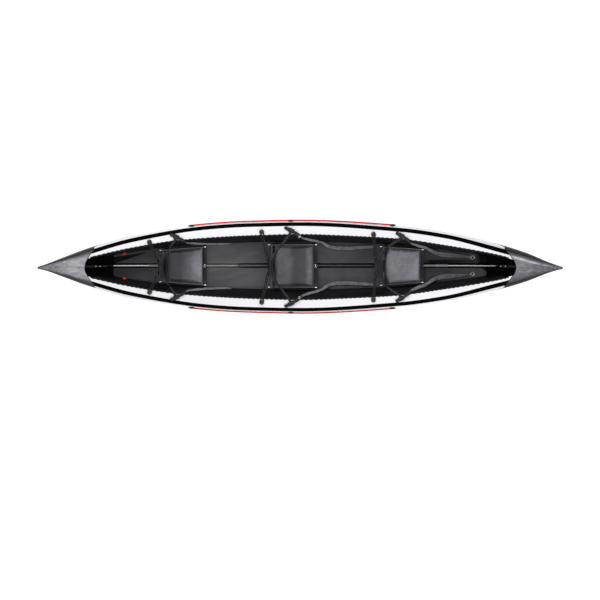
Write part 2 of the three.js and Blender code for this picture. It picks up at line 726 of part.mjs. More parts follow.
// Floor mats on both sides of the keel channel.
const matMeshes = {};
sides.forEach(([name, side]) => {
  const region = loft(stationsWithin(matEndShares).map((at) => {
    const s = sectionSizes(at);
    const outer = s.floor - matEdgeGap;
    return [
      flatPoint(keelChannelHalfWidth, s.keel - cutMargin), flatPoint(outer, s.keel - cutMargin),
      flatPoint(outer, s.matTop), flatPoint(keelChannelHalfWidth, s.matTop),
    ].map((p) => onSide(side, at * halfLength, p));
  }));
  matMeshes[name] = addPart(`floor_mat_${name}`, common(room, region), colours.mat, 0.9);
});

// Stem boards: upright boards in the tips, with a socket for the end of the keel tube.
const keelAxisHeight = skinThickness + fitGap + keelSleeveRadius;

function socketAt(end) {
  const outward = Math.sign(stemBoardShares[end]);
  const mouth = stemBoardShares[end] * halfLength - outward * stemSocketLength;
  const s = sectionSizes(mouth / halfLength);
  const deep = sectionSizes((mouth + outward * (stemSocketLength + stemBoardThickness)) / halfLength);
  const height = Math.max(s.keel, deep.keel) + skinThickness + fitGap + keelSleeveRadius + seatedDepth;
  return { outward, mouth, height };
}

function stemBoard(end) {
  const { outward, mouth, height } = socketAt(end);
  const inner = stemBoardShares[end];
  const outer = hollowEndShares[end] - outward * stemBoardSetbackShare;
  const edgeAt = (t) => {
    const at = lerp(inner, outer, t);
    const s = sectionSizes(at);
    const rise = Math.sin((t * Math.PI) / 2) ** 2;
    const top = lerp(s.keel + stemBoardHeight, s.sheer - skinThickness, rise);
    return { x: at * halfLength, keel: s.keel, top };
  };
  const topEdge = stations(0, 1, 6).map(edgeAt).map(({ x, top }) => flatPoint(x, top));
  const corners = [
    flatPoint(inner * halfLength, -cutMargin), ...topEdge, flatPoint(outer * halfLength, -cutMargin),
  ];
  const outline = new THREE.Shape(outward > 0 ? corners.reverse() : corners);
  boardHoleShares.map(edgeAt).forEach(({ x, keel, top }) => {
    const hole = new THREE.Path();
    hole.absarc(x, (keel + top) / 2, boardHoleRadiusShare * (top - keel), 0, 2 * Math.PI, true);
    outline.holes.push(hole);
  });
  const plate = new THREE.ExtrudeGeometry(outline, {
    depth: stemBoardThickness, bevelEnabled: false, curveSegments: 6,
  });
  plate.rotateX(Math.PI / 2);
  plate.translate(0, stemBoardThickness / 2, 0);
  const mouthAt = mouth / halfLength;
  const beyond = hollowStations.filter((at) => at * outward > mouthAt * outward);
  const tip = [mouthAt, ...beyond].sort((a, b) => a - b);
  const underCover = (at) => flatPoint(skinThickness, sectionSizes(at).sheer - skinThickness);
  const space = loft(tip.map((at) => skinRing(at, skinThickness + fitGap, underCover)));
  const boss = rod(
    new THREE.Vector3(mouth, 0, height),
    new THREE.Vector3(mouth + outward * (stemSocketLength + stemBoardThickness), 0, height),
    keelSleeveRadius,
  );
  const bore = rod(
    new THREE.Vector3(mouth - outward * cutMargin, 0, height),
    new THREE.Vector3(mouth + outward * stemSocketLength, 0, height),
    rodBore(keelTubeRadius),
  );
  return cut(join(common(plate, space), boss), bore);
}

addPart('stern_board', stemBoard('stern'), colours.black, 0.6);
addPart('bow_board', stemBoard('bow'), colours.black, 0.6);

// The keel tube in four lengths. Each joint is a sleeve fixed on one length, with a socket for the next.
const keelJoints = keelJointShares.map((share) => share * halfLength);
const halfSleeve = keelSleeveLength / 2;
const keelPoint = (x, z = keelAxisHeight) => new THREE.Vector3(x, 0, z);

function sleeve(joint) {
  return rod(keelPoint(joint - halfSleeve), keelPoint(joint + halfSleeve), keelSleeveRadius);
}

function socketBore(joint, outward) {
  const mouth = keelPoint(joint + outward * (halfSleeve + cutMargin));
  return rod(keelPoint(joint), mouth, rodBore(keelTubeRadius));
}

function endTube(end, joint) {
  const { outward, mouth, height } = socketAt(end);
  const foot = mouth + outward * (stemSocketLength - fitGap);
  const points = [
    keelPoint(joint + outward * fitGap), keelPoint(joint + outward * keelSleeveLength),
    keelPoint(mouth - outward * halfSleeve, height), keelPoint(foot, height),
  ];
  const path = new THREE.CurvePath();
  path.add(new THREE.LineCurve3(points[0], points[1]));
  const bend = (points[2].x - points[1].x) / 3;
  path.add(new THREE.CubicBezierCurve3(
    points[1], keelPoint(points[1].x + bend), keelPoint(points[2].x - bend, height), points[2],
  ));
  path.add(new THREE.LineCurve3(points[2], points[3]));
  return pathRod(path, keelTubeRadius, rodSideCount, endTubeStepCount);
}

addPart('keel_tube_stern', endTube('stern', keelJoints[0]), colours.tube, 0.3, 0.9);
addPart('keel_tube_aft', cut(
  join(rod(keelPoint(keelJoints[0]), keelPoint(keelJoints[1] - fitGap), keelTubeRadius), sleeve(keelJoints[0])),
  socketBore(keelJoints[0], -1),
), colours.tube, 0.3, 0.9);
const fittingX = keelFittingShare * halfLength;
addPart('keel_tube_middle', cut(
  join(
    rod(keelPoint(keelJoints[1]), keelPoint(keelJoints[2]), keelTubeRadius),
    sleeve(keelJoints[1]), sleeve(keelJoints[2]),
    rod(keelPoint(fittingX - keelSleeveRadius), keelPoint(fittingX + keelSleeveRadius), keelSleeveRadius),
  ),
  socketBore(keelJoints[1], -1), socketBore(keelJoints[2], 1),
), colours.tube, 0.3, 0.9);
addPart('keel_tube_bow', endTube('bow', keelJoints[2]), colours.tube, 0.3, 0.9);

// Ribs: arched cross pieces that stand on the mats, straddle the keel tube and carry the seat rails.
const railHalf = (x) => seatWidthShare * sectionSizes(x / halfLength).floor;

function rib(seat, x) {
  const bottom = sectionSizes(x / halfLength).matTop + fitGap;
  const railAt = railY(seat, x);
  const half = railAt + railRadius + ribLipWidth;
  const notch = rodBore(keelSleeveRadius) + fitGap;
  const notchAngle = Math.asin((bottom - keelAxisHeight) / notch);
  const low = railHeight - ribSagDepth;
  const arch = bottom + ribArchHeight;
  const archStart = half - ribFootWidth;
  const legStart = keelChannelHalfWidth + ribArchHeight;
  const shape = new THREE.Shape();
  shape.moveTo(-half, bottom);
  shape.lineTo(-half, railHeight);
  shape.lineTo(-railAt, railHeight);
  shape.quadraticCurveTo(2 * railRadius - railAt, railHeight - ribSagDepth / 2, ribCrownWidth - railAt, low);
  shape.lineTo(railAt - ribCrownWidth, low);
  shape.quadraticCurveTo(railAt - 2 * railRadius, railHeight - ribSagDepth / 2, railAt, railHeight);
  shape.lineTo(half, railHeight);
  shape.lineTo(half, bottom);
  shape.lineTo(archStart, bottom);
  shape.quadraticCurveTo(archStart, arch, archStart - ribArchHeight, arch);
  shape.lineTo(legStart, arch);
  shape.lineTo(legStart, bottom);
  shape.lineTo(notch * Math.cos(notchAngle), bottom);
  shape.absarc(0, keelAxisHeight, notch, notchAngle, Math.PI - notchAngle, false);
  shape.lineTo(-legStart, bottom);
  shape.lineTo(-legStart, arch);
  shape.lineTo(ribArchHeight - archStart, arch);
  shape.quadraticCurveTo(-archStart, arch, -archStart, bottom);
  const plate = new THREE.ExtrudeGeometry(shape, {
    depth: ribThickness, bevelEnabled: false, curveSegments: 5,
  });
  plate.rotateX(Math.PI / 2);
  plate.rotateZ(Math.PI / 2);
  plate.translate(x - ribThickness / 2, 0, 0);
  return cut(plate, ...rails(seat, rodBore(railRadius), 2 * ribThickness));
}

// Each seat: two rails and the rear bar that the backrest turns on, with a sling pad between the rails.
function seatSizes(k) {
  const hinge = seatPlaceShares[k] * halfLength;
  const rear = hinge - railTailLength;
  const front = rear + seatLength * seatLengthShares[k];
  const frontRib = front + ribOverhangLength - ribThickness / 2;
  return {
    hinge,
    rear,
    front,
    rearRib: hinge + railRadius + ribLipWidth + ribThickness / 2,
    frontRib,
    padRear: hinge + seatLength * padSetbackShares[k],
    padFront: frontRib - ribThickness / 2 - padRibGap,
    tilt: THREE.MathUtils.degToRad(seatReclineDegrees[k]),
  };
}

function railY(seat, x) {
  return lerp(railHalf(seat.rear), railHalf(seat.front), (x - seat.rear) / (seat.front - seat.rear));
}

function rails(seat, radius, overrun) {
  const from = seat.rear - overrun;
  const to = seat.front + overrun;
  return [1, -1].map((side) => rod(
    new THREE.Vector3(from, side * railY(seat, from), railHeight),
    new THREE.Vector3(to, side * railY(seat, to), railHeight),
    radius,
  ));
}

function seatFrame(seat) {
  const reach = railY(seat, seat.hinge);
  const ends = [-reach, reach].map((y) => new THREE.Vector3(seat.hinge, y, railHeight));
  return join(...rails(seat, railRadius, 0), rod(...ends, railRadius));
}

// A sling pad with a crown, drawn-in sides and a hollow where the sitter's weight goes.
function seatPad(seat) {
  const half = (x) => railY(seat, x) - railRadius - fitGap;
  const rows = stations(-1, 1, 9);
  const thicknessAt = (u, v) => (
    lerp(padEdgeThickness, padThickness, Math.sqrt((1 - u ** 4) * (1 - v ** 4)))
  );
  return loft(rows.map((u) => {
    const x = lerp(seat.padRear, seat.padFront, (u + 1) / 2);
    const middle = (v) => railHeight - padSagDepth * (1 - v * v);
    const row = (share) => stations(-1, 1, 8).map((v) => (
      new THREE.Vector3(x, v * half(x), middle(v) + share * thicknessAt(u, v))
    ));
    return [...row(0.5), ...row(-0.5).reverse()];
  }));
}

// The backrest's height, depth and thickness at a place across it. The powers round off its top, its bottom, its
// sweep forward and its padding.
const backPowers = { top: 2.2, bottom: 1.6, sweep: 2, padding: 1.5 };

function backOutline(y) {
  const out = Math.abs(y) / backHalfWidth;
  return {
    top: lerp(backHeight, backArmTopHeight, out ** backPowers.top),
    bottom: lerp(backPadBottomHeight, backArmBottomHeight, out ** backPowers.bottom),
    forward: backArmDepth * out ** backPowers.sweep,
    thickness: lerp(backThickness, backArmThickness, out ** backPowers.padding),
  };
}

function backrest() {
  const ringShares = [
    [0, 0], [0.5, 0.05], [0.92, 0.2], [1, 0.5], [0.92, 0.8], [0.5, 0.95],
    [0, 1], [-0.5, 0.95], [-0.92, 0.8], [-1, 0.5], [-0.92, 0.2], [-0.5, 0.05],
  ];
  const band = loft(stations(-1, 1, 12).map((share) => {
    const y = share * backHalfWidth;
    const s = backOutline(y);
    return ringShares.map(([out, up]) => (
      new THREE.Vector3(s.forward + (out * s.thickness) / 2, y, lerp(s.bottom, s.top, up))
    ));
  }));
  const sleeveRadius = rodBore(railRadius) + sleeveThickness;
  const across = (half) => [new THREE.Vector3(0, -half, 0), new THREE.Vector3(0, half, 0)];
  const hem = rod(...across(sleeveLength / 2), sleeveRadius);
  const tongue = new THREE.BoxGeometry(tongueThickness, sleeveLength, backPadBottomHeight + tongueLapLength);
  tongue.translate(0, 0, (backPadBottomHeight + tongueLapLength) / 2);
  const bore = rod(...across(sleeveLength), rodBore(railRadius));
  return cut(join(band, hem, tongue), bore);
}

const backTransform = (seat) => new THREE.Matrix4()
  .makeRotationY(-seat.tilt)
  .setPosition(seat.hinge, 0, railHeight);

const fromBack = (seat, x, y, z) => new THREE.Vector3(x, y, z).applyMatrix4(backTransform(seat));

function deckSpot(name, side, at, place) {
  const above = onSide(side, at * halfLength, deckAt(at, place));
  above.z += sheerHeight;
  return meet(deckMeshes[name], above, down);
}

// The mushroom knob on the rear deck that the elastic cord loops over. Its head is given in shares of its height.
const knobHeadShares = { under: 0.6, rim: 0.7, brow: 0.9, browRadius: 0.8 };

function deckKnob() {
  const profile = [
    flatPoint(0, 0),
    flatPoint(knobFlangeRadius, 0),
    flatPoint(knobFlangeRadius, knobFlangeHeight),
    flatPoint(knobNeckRadius, knobFlangeHeight),
    flatPoint(knobNeckRadius, knobHeadShares.under * knobHeight),
    flatPoint(knobHeadRadius, knobHeadShares.rim * knobHeight),
    flatPoint(knobHeadShares.browRadius * knobHeadRadius, knobHeadShares.brow * knobHeight),
    flatPoint(0, knobHeight),
  ];
  const geometry = new THREE.LatheGeometry(profile, discSideCount);
  geometry.rotateX(Math.PI / 2);
  return geometry;
}

const cordRingHeight = knobFlangeHeight + fitGap + cordRadius;
const cordLoopRadius = clearRadius(knobNeckRadius + cordRadius, loopSideCount);

function cordLoop(spot, towards) {
  const centre = spot.point.clone().addScaledVector(spot.normal, fitGap + cordRingHeight);
  const heading = towards.clone().sub(centre).projectOnPlane(spot.normal).normalize();
  const start = centre.clone().addScaledVector(heading, cordLoopRadius);
  const clear = centre.clone().addScaledVector(heading, knobHeadRadius + 2 * cordRadius);
  return { centre, start, clear, heading };
}

function elasticCord(seat, spots) {
  const behind = -(backThickness / 2) - cordRadius - seatedDepth;
  const ends = [1, -1].map((side) => fromBack(seat, behind, side * cordHalfWidth, cordHeight));
  const loops = spots.map((spot, i) => cordLoop(spot, ends[i]));
  const between = loops.map((loop, i) => {
    const middle = loop.clear.clone().lerp(ends[i], 0.5);
    middle.z += 3 * cordRadius;
    return middle;
  });
  const route = [
    loops[0].start, loops[0].clear, between[0], ends[0], fromBack(seat, behind, 0, cordHeight),
    ends[1], between[1], loops[1].clear, loops[1].start,
  ];
  const rings = loops.map((loop, i) => {
    const ring = new THREE.TorusGeometry(cordLoopRadius, cordRadius, cordSideCount, loopSideCount);
    return standOn(ring, loop.centre, spots[i].normal, loop.heading);
  });
  return join(bentRod(route, cordRadius, cordSideCount, cordStepCount), ...rings);
}

// The buckle on the front deck with its webbing, which drops over the coaming into the cockpit.
function insidePoint(side, at, place, lift) {
  const curves = [deckAt, wallAt, matAt];
  const k = Math.min(Math.floor(place), 2);
  return onSide(side, at * halfLength, inset(curves[k], at, place - k, -lift));
}

function webbingRoute(k) {
  const { hinge, front } = seatSizes(k);
  const last = k === seatPlaceShares.length - 1;
  const next = last ? matEndShares.bow * halfLength : seatSizes(k + 1).rear;
  const placeOf = (along) => (along <= 1 ? lerp(hinge, front, along) : lerp(front, next, along - 1));
  return webbingRouteShares[k].map(([along, ...others]) => [placeOf(along) / halfLength, ...others]);
}

// Each stop stands over the facets below it. The lift keeps the flat strip clear where the surface bends.
function webbingStops(name, side, k) {
  const route = webbingRoute(k).flatMap((stop, i, all) => {
    const next = all[Math.min(i + 1, all.length - 1)];
    const leavesWall = stop[1] < matEdgeShare && next[1] > matEdgeShare;
    if (next === stop || leavesWall) return [stop];
    return [stop, stop.map((value, j) => lerp(value, next[j], 0.5))];
  });
  const under = [deckMeshes[name], chamberMeshes[name], matMeshes[name]];
  const stops = route.map(([at, place, lift, share]) => {
    const foot = insidePoint(side, at, place, 0);
    const out = insidePoint(side, at, place, 1).sub(foot).normalize();
    const from = foot.clone().addScaledVector(out, buckleWidth);
    const centre = nearest(under, from, out.clone().negate());
    centre.addScaledVector(out, lift * webbingLiftHeight);
    return { out, centre, width: share * webbingWidth };
  });
  return stops.map(({ centre, out, width }, i) => {
    const before = stops[Math.max(i - 1, 0)].centre;
    const after = stops[Math.min(i + 1, stops.length - 1)].centre;
    const along = after.clone().sub(before).normalize();
    const normal = out.clone().projectOnPlane(along).normalize();
    const across = new THREE.Vector3().crossVectors(along, normal);
    return { centre, across, normal, width };
  });
}

// The front seat's webbing ends in a ring.
const ringSeat = seatPlaceShares.length - 1;

function deckStrap(name, side, k, spot) {
  const stops = webbingStops(name, side, k);
  const heading = stops[4].centre.clone().sub(stops[0].centre);
  const slotLength = (buckleLength - 3 * buckleBarWidth) / 2;
  const plate = new THREE.BoxGeometry(buckleLength, buckleWidth, buckleThickness);
  const slots = [-1, 1].map((end) => {
    const slot = new THREE.BoxGeometry(slotLength, buckleWidth - 2 * buckleBarWidth, 2 * buckleThickness);
    return slot.translate((end * (slotLength + buckleBarWidth)) / 2, 0, 0);
  });
  const buckle = cut(plate, ...slots);
  buckle.translate(0, 0, buckleLiftHeight + buckleThickness / 2);
  const post = disc(bucklePostRadius, 0, buckleLiftHeight + seatedDepth);
  const foot = spot.point.clone().addScaledVector(spot.normal, fitGap);
  const fitting = standOn(join(buckle, post), foot, spot.normal, heading);
  const pieces = [fitting, strip(stops, webbingThickness)];
  if (k === ringSeat) {
    const last = stops[stops.length - 1];
    const beyond = last.centre.clone().sub(stops[stops.length - 2].centre).normalize();
    const centre = last.centre.clone().addScaledVector(beyond, ringRadius);
    const ring = new THREE.TorusGeometry(ringRadius, ringWireRadius, cordSideCount, discSideCount);
    pieces.push(standOn(ring, centre, last.normal, beyond));
  }
  return { geometry: join(...pieces), heading };
}

// The strap from the end of a backrest arm to the rear inner corner of the buckle.
function backStrap(seat, side, spot, heading) {
  const s = backOutline(backHalfWidth);
  const middle = (s.top + s.bottom) / 2;
  const start = fromBack(seat, s.forward, side * (backHalfWidth + fitGap), middle);
  const lead = fromBack(seat, s.forward, side * (backHalfWidth + backStrapWidth / 2), middle);
  const x = heading.clone().projectOnPlane(spot.normal).normalize();
  const inward = new THREE.Vector3(0, -side, 0).projectOnPlane(spot.normal).normalize();
  const lift = fitGap + buckleLiftHeight + buckleThickness / 2;
  const end = spot.point.clone()
    .addScaledVector(spot.normal, lift)
    .addScaledVector(inward, (buckleWidth + backStrapWidth) / 2)
    .addScaledVector(x, -buckleLength / 4);
  const upright = fromBack(seat, 0, 0, 1).sub(fromBack(seat, 0, 0, 0));
  const centres = [start, lead, ...stations(0, 1, 4).slice(1).map((t) => lead.clone().lerp(end, t))];
  const stops = centres.map((centre, i) => {
    const before = centres[Math.max(i - 1, 0)];
    const after = centres[Math.min(i + 1, centres.length - 1)];
    const along = (i === 0 ? lead : after).clone().sub(before).normalize();
    const across = upright.clone().lerp(x, i / (centres.length - 1)).projectOnPlane(along).normalize();
    const normal = new THREE.Vector3().crossVectors(across, along);
    return { centre, across, normal, width: backStrapWidth };
  });
  return strip(stops, webbingThickness);
}

seatPlaceShares.forEach((_, k) => {
  const seat = seatSizes(k);
  const number = k + 1;
  addPart(`rib_rear_${number}`, rib(seat, seat.rearRib), colours.black, 0.6);
  addPart(`rib_front_${number}`, rib(seat, seat.frontRib), colours.black, 0.6);
  addPart(`seat_frame_${number}`, seatFrame(seat), colours.tube, 0.3, 0.9);
  addPart(`seat_pad_${number}`, seatPad(seat), colours.pad, 0.5);
  const back = addPart(`backrest_${number}`, backrest(), colours.webbing, 0.8);
  back.position.set(seat.hinge, 0, railHeight);
  back.rotation.y = -seat.tilt;
  const knobSpots = sides.map(([name, side]) => deckSpot(name, side, knobPlaceShares[k], knobDeckShare));
  sides.forEach(([name, side], i) => {
    const spot = knobSpots[i];
    const foot = spot.point.clone().addScaledVector(spot.normal, fitGap);
    addPart(`deck_knob_${name}_${number}`, standOn(deckKnob(), foot, spot.normal, bow), colours.black, 0.5);
    const [at, place] = webbingRoute(k)[1];
    const buckleSpot = deckSpot(name, side, at, place);
    const { geometry, heading } = deckStrap(name, side, k, buckleSpot);
    const arm = backStrap(seat, side, buckleSpot, heading);
    addPart(`deck_strap_${name}_${number}`, geometry, colours.webbing, 0.8);
    addPart(`back_strap_${name}_${number}`, arm, colours.webbing, 0.8);
  });
  addPart(`back_cord_${number}`, elasticCord(seat, knobSpots), colours.black, 0.7);
});

export default kayak;
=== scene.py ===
"""Looks of the folding kayak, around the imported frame. Metres, +X to the bow, +Y to port, +Z up."""

import math
from functools import lru_cache

import bpy
import bmesh
import numpy as np
from mathutils import Matrix, Vector, noise


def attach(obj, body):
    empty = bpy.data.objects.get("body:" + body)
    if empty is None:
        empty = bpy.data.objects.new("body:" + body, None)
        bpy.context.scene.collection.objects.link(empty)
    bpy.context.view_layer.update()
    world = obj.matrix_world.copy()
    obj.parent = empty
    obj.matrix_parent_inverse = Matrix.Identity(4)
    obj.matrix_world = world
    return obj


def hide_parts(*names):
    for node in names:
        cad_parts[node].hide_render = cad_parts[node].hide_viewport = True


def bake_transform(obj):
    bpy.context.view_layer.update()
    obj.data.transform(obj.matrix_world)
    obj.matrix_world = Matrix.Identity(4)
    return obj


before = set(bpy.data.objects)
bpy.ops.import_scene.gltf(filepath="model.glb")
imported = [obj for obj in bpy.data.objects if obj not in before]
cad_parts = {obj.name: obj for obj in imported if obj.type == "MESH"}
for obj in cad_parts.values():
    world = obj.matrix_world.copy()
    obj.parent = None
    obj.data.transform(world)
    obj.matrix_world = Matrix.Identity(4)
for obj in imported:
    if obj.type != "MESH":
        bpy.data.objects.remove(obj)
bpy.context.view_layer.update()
bpy.context.scene.view_settings.view_transform = "Standard"

# ---- Sizes of the hull, as in the part's source. Places along it run from -1 at the stern to 1 at the bow
HALF_LENGTH = 2.675
HALF_BEAM = 0.471
HALF_SHEER = 0.452
HALF_COAMING = 0.327
SHEER_HEIGHT = 0.303
DECK_RISE = 0.025
SKIN = 0.003
BAND_SIDE = 0.010
BAND_DECK = 0.032
GAP = 0.0003
MAT = 0.025
CHANNEL = 0.024
FLOOR_SHARE = 0.77

BREADTH = [(-1, 0.02), (-0.973, 0.068), (-0.904, 0.217), (-0.812, 0.408), (-0.636, 0.688), (-0.36, 0.919),
           (-0.2, 0.975), (0.008, 1), (0.375, 0.892), (0.559, 0.756), (0.743, 0.522), (0.858, 0.327), (0.95, 0.117),
           (1, 0.02)]
SHEER_BREADTH = [(-1, 0.014), (-0.973, 0.041), (-0.904, 0.164), (-0.812, 0.349), (-0.636, 0.644), (-0.36, 0.916),
                 (-0.2, 0.978), (0.008, 1), (0.375, 0.872), (0.559, 0.719), (0.743, 0.441), (0.858, 0.251),
                 (0.95, 0.082), (1, 0.014)]
COAMING_BREADTH = [(-0.85, 0.2), (-0.789, 0.321), (-0.636, 0.596), (-0.452, 0.826), (-0.176, 0.966), (0.008, 1),
                   (0.192, 0.948), (0.375, 0.862), (0.559, 0.654), (0.743, 0.391), (0.85, 0.17)]
SHEER_RISE = [(-1, 1.55), (-0.904, 1.36), (-0.805, 1.32), (-0.682, 1.21), (-0.575, 1.092), (-0.46, 1.02), (0, 1),
              (0.46, 1.026), (0.613, 1.129), (0.709, 1.228), (0.782, 1.32), (0.858, 1.4), (0.92, 1.48), (1, 1.68)]
KEEL_RISE = [(-1, 1.38), (-0.989, 1.3), (-0.984, 1.135), (-0.978, 0.838), (-0.966, 0.568), (-0.949, 0.353),
             (-0.921, 0.244), (-0.881, 0.168), (-0.795, 0.096), (-0.636, 0), (0.598, 0), (0.754, 0.129),
             (0.871, 0.264), (0.93, 0.37), (0.957, 0.541), (0.976, 0.782), (0.984, 1.125), (0.991, 1.36), (1, 1.61)]
SKIN_EDGE = [(-0.8, 1.31), (-0.757, 0.987), (-0.673, 0.845), (-0.59, 0.657), (-0.513, 0.548), (-0.425, 0.5),
             (-0.2, 0.41), (0.2, 0.41), (0.386, 0.475), (0.547, 0.64), (0.674, 0.775), (0.735, 0.934),
             (0.757, 1.06), (0.795, 1.31)]
BULGE_HEIGHT = [(-1, 0.8), (-0.6, 0.7), (0, 0.66), (0.6, 0.7), (1, 0.8)]
FLAT_BOTTOM = [(-1, 0.05), (-0.92, 0.1), (-0.8, 0.3), (-0.636, 0.5), (-0.2, 0.64), (0.2, 0.64), (0.6, 0.5),
               (0.8, 0.28), (0.93, 0.08), (1, 0.05)]
FULLNESS = [(-1, 0.2), (-0.85, 0.35), (-0.5, 0.62), (0.5, 0.62), (0.85, 0.35), (1, 0.2)]
DECK_CROWN = [(-0.85, 0.4), (-0.4, 1), (0.5, 1), (0.85, 0.75)]
SIDES = [("port", 1), ("starboard", -1)]
TIPS = [("stern", -1), ("bow", 1)]
OPENING = {-1: -0.829, 1: 0.825}
SWEEP = 0.036
CROWN = {-1: 0.09, 1: 0.2}
PANEL_END = {-1: -0.785, 1: 0.781}
BAND_END = {-1: -0.791, 1: 0.787}
MAT_END = 0.72

# ---- Seats and webbing, as in the part's source
HINGES = [-0.5286 * HALF_LENGTH, -0.1092 * HALF_LENGTH, 0.3222 * HALF_LENGTH]
RAIL_REARS = [hinge - 0.03 for hinge in HINGES]
RAIL_FRONTS = [rear + length for rear, length in zip(RAIL_REARS, (0.47, 0.47 * 1.047, 0.47 * 0.93))]
RIB_HALF = 0.017
FRONT_RIBS = [front + 0.008 - RIB_HALF for front in RAIL_FRONTS]
TILTS = [math.radians(3), math.radians(3), math.radians(17)]
RAIL_Z = 0.104
RAIL_R = 0.008
PAD_SETBACK = [0.0409, 0.0362, 0.016]
PAD_CHANNELS = [[0.06], [0.05, 0.95], [0.05]]
PAD_ROUND = [0.016, 0.006, 0.042]
ARM_Y = 0.182
WEBBING = 0.042
WEBBING_LIFT = 0.0025
# The webbing's stops: the place along, the place round the section, the lift and the share of the width
ROUTES = [
    [(0.192, 0.3, 4, 0.6), (0.338, 0.6, 5, 0.7), (0.423, 0.82, 5, 0.75), (0.484, 0.97, 6, 0.8),
     (0.527, 1.04, 5, 0.85), (0.63, 1.28, 1.8, 1), (1, 1.55, 1.8, 1), (1.222, 1.74, 1.8, 1), (1.411, 1.86, 1.8, 1)],
    [(0.284, 0.38, 4, 0.6), (0.441, 0.63, 5, 0.7), (0.54, 0.84, 5, 0.75), (0.592, 0.97, 6, 0.8),
     (0.633, 1.04, 5, 0.85), (0.748, 1.3, 1.8, 1.1), (0.991, 1.56, 1.8, 1.1), (1.091, 1.78, 3.5, 1),
     (1.196, 2.22, 4, 1), (1.309, 2.28, 1.8, 1.1), (1.511, 2.28, 1.8, 1.1), (1.713, 2.22, 1.8, 1),
     (1.891, 2.17, 1.8, 0.9)],
    [(0.288, 0.42, 4, 0.6), (0.433, 0.63, 5, 0.7), (0.538, 0.84, 5, 0.75), (0.603, 0.97, 6, 0.8),
     (0.643, 1.04, 5, 0.85), (0.747, 1.28, 1.8, 1.1), (1.006, 1.56, 2, 1.3), (1.08, 1.76, 4, 1.1),
     (1.206, 2.3, 5, 1.1), (1.316, 2.38, 2, 1.4), (1.43, 2.38, 1.8, 1.4), (1.593, 2.38, 1.8, 1),
     (1.756, 2.4, 1.8, 0.68)],
]


def lerp(a, b, t):
    return a + (b - a) * t


def spread(a, b, count):
    """Both ends and the even steps between them."""
    return [lerp(a, b, i / count) for i in range(count + 1)]


def wobble(x, y, z):
    """Smooth noise between about -1 and 1."""
    return noise.noise(Vector((x, y, z)))


def between(values, u):
    """A value between two of a list, where u counts its entries."""
    i = min(int(u), len(values) - 2)
    return lerp(values[i], values[i + 1], u - i)


def follow(table, at):
    """A smooth curve through a table that never overshoots its points."""
    last = len(table) - 1
    if at <= table[0][0]:
        return table[0][1]
    if at >= table[last][0]:
        return table[last][1]
    k = 0
    while at > table[k + 1][0]:
        k += 1

    def slope(i):
        return (table[i + 1][1] - table[i][1]) / (table[i + 1][0] - table[i][0])

    def tangent(i):
        if i in (0, last):
            return slope(min(i, last - 1))
        before, after = slope(i - 1), slope(i)
        return 0 if before * after <= 0 else 2 * before * after / (before + after)

    span = table[k + 1][0] - table[k][0]
    t = (at - table[k][0]) / span
    start = table[k][1] * (1 + 2 * t) + tangent(k) * span * t
    end = table[k + 1][1] * (3 - 2 * t) - tangent(k + 1) * span * (1 - t)
    return start * (1 - t) ** 2 + end * t * t


class Section:
    """The sizes of the boat's section at a place along it."""

    def __init__(self, at):
        self.keel = SHEER_HEIGHT * follow(KEEL_RISE, at)
        self.sheer = SHEER_HEIGHT * follow(SHEER_RISE, at)
        self.bulge = HALF_BEAM * follow(BREADTH, at)
        self.edge = HALF_SHEER * follow(SHEER_BREADTH, at)
        self.coaming = min(HALF_COAMING * follow(COAMING_BREADTH, at), 0.8 * self.edge)
        self.flat = self.bulge * follow(FLAT_BOTTOM, at)
        self.bulge_z = lerp(self.keel, self.sheer, follow(BULGE_HEIGHT, at))
        self.coaming_z = self.sheer + DECK_RISE * follow(DECK_CROWN, at)
        self.full = follow(FULLNESS, at)
        self.floor = FLOOR_SHARE * self.coaming
        self.mat_z = self.keel + SKIN + GAP + MAT


@lru_cache(maxsize=None)
def section(at):
    return Section(at)


def bezier(points, t):
    points = [np.array(p) for p in points]
    while len(points) > 1:
        points = [points[i] * (1 - t) + points[i + 1] * t for i in range(len(points) - 1)]
    return points[0]


def side_at(at, place):
    """Flat bottom from -1, bilge from 0 and topside from 1 to the sheer at 2."""
    s = section(at)
    if place <= 0:
        return np.array((s.flat * (1 + place), s.keel))
    if place <= 1:
        return bezier([(s.flat, s.keel), (lerp(s.flat, s.bulge, s.full), s.keel),
                       (s.bulge, lerp(s.bulge_z, s.keel, s.full)), (s.bulge, s.bulge_z)], place)
    return bezier([(s.bulge, s.bulge_z), (s.bulge, lerp(s.bulge_z, s.sheer, 0.6)),
                   (lerp(s.edge, s.bulge, 0.45), lerp(s.sheer, s.bulge_z, 0.14)), (s.edge, s.sheer)], place - 1)


def deck_at(at, place):
    s = section(at)
    return bezier([(s.edge, s.sheer), ((s.edge + s.coaming) / 2, lerp(s.sheer, s.coaming_z, 0.85)),
                   (s.coaming, s.coaming_z)], place)


def wall_at(at, place):
    s = section(at)
    top = s.coaming_z - SKIN - GAP
    return bezier([(s.coaming + 0.001, top), (lerp(s.floor, s.coaming, 0.25), lerp(s.mat_z, top, 0.62)),
                   (s.floor, s.mat_z)], place)


def mat_at(at, place):
    s = section(at)
    return np.array((lerp(s.floor, CHANNEL, place), s.mat_z))


def moved(curve, at, place, lift):
    """A point of a section curve, lifted off its outer face."""
    ahead, back = curve(at, place + 1e-4), curve(at, place - 1e-4)
    along = (ahead - back) / np.linalg.norm(ahead - back)
    here = curve(at, place)
    return np.array((here[0] + along[1] * lift, here[1] - along[0] * lift))


def point(side, at, yz):
    return Vector((at * HALF_LENGTH, side * float(yz[0]), float(yz[1])))


def lifted(curve, side, at, place, lift):
    return point(side, at, moved(curve, at, place, lift))


def lifted_row(curve, side, at, lift, low, high, count):
    return [lifted(curve, side, at, place, lift) for place in spread(low, high, count)]


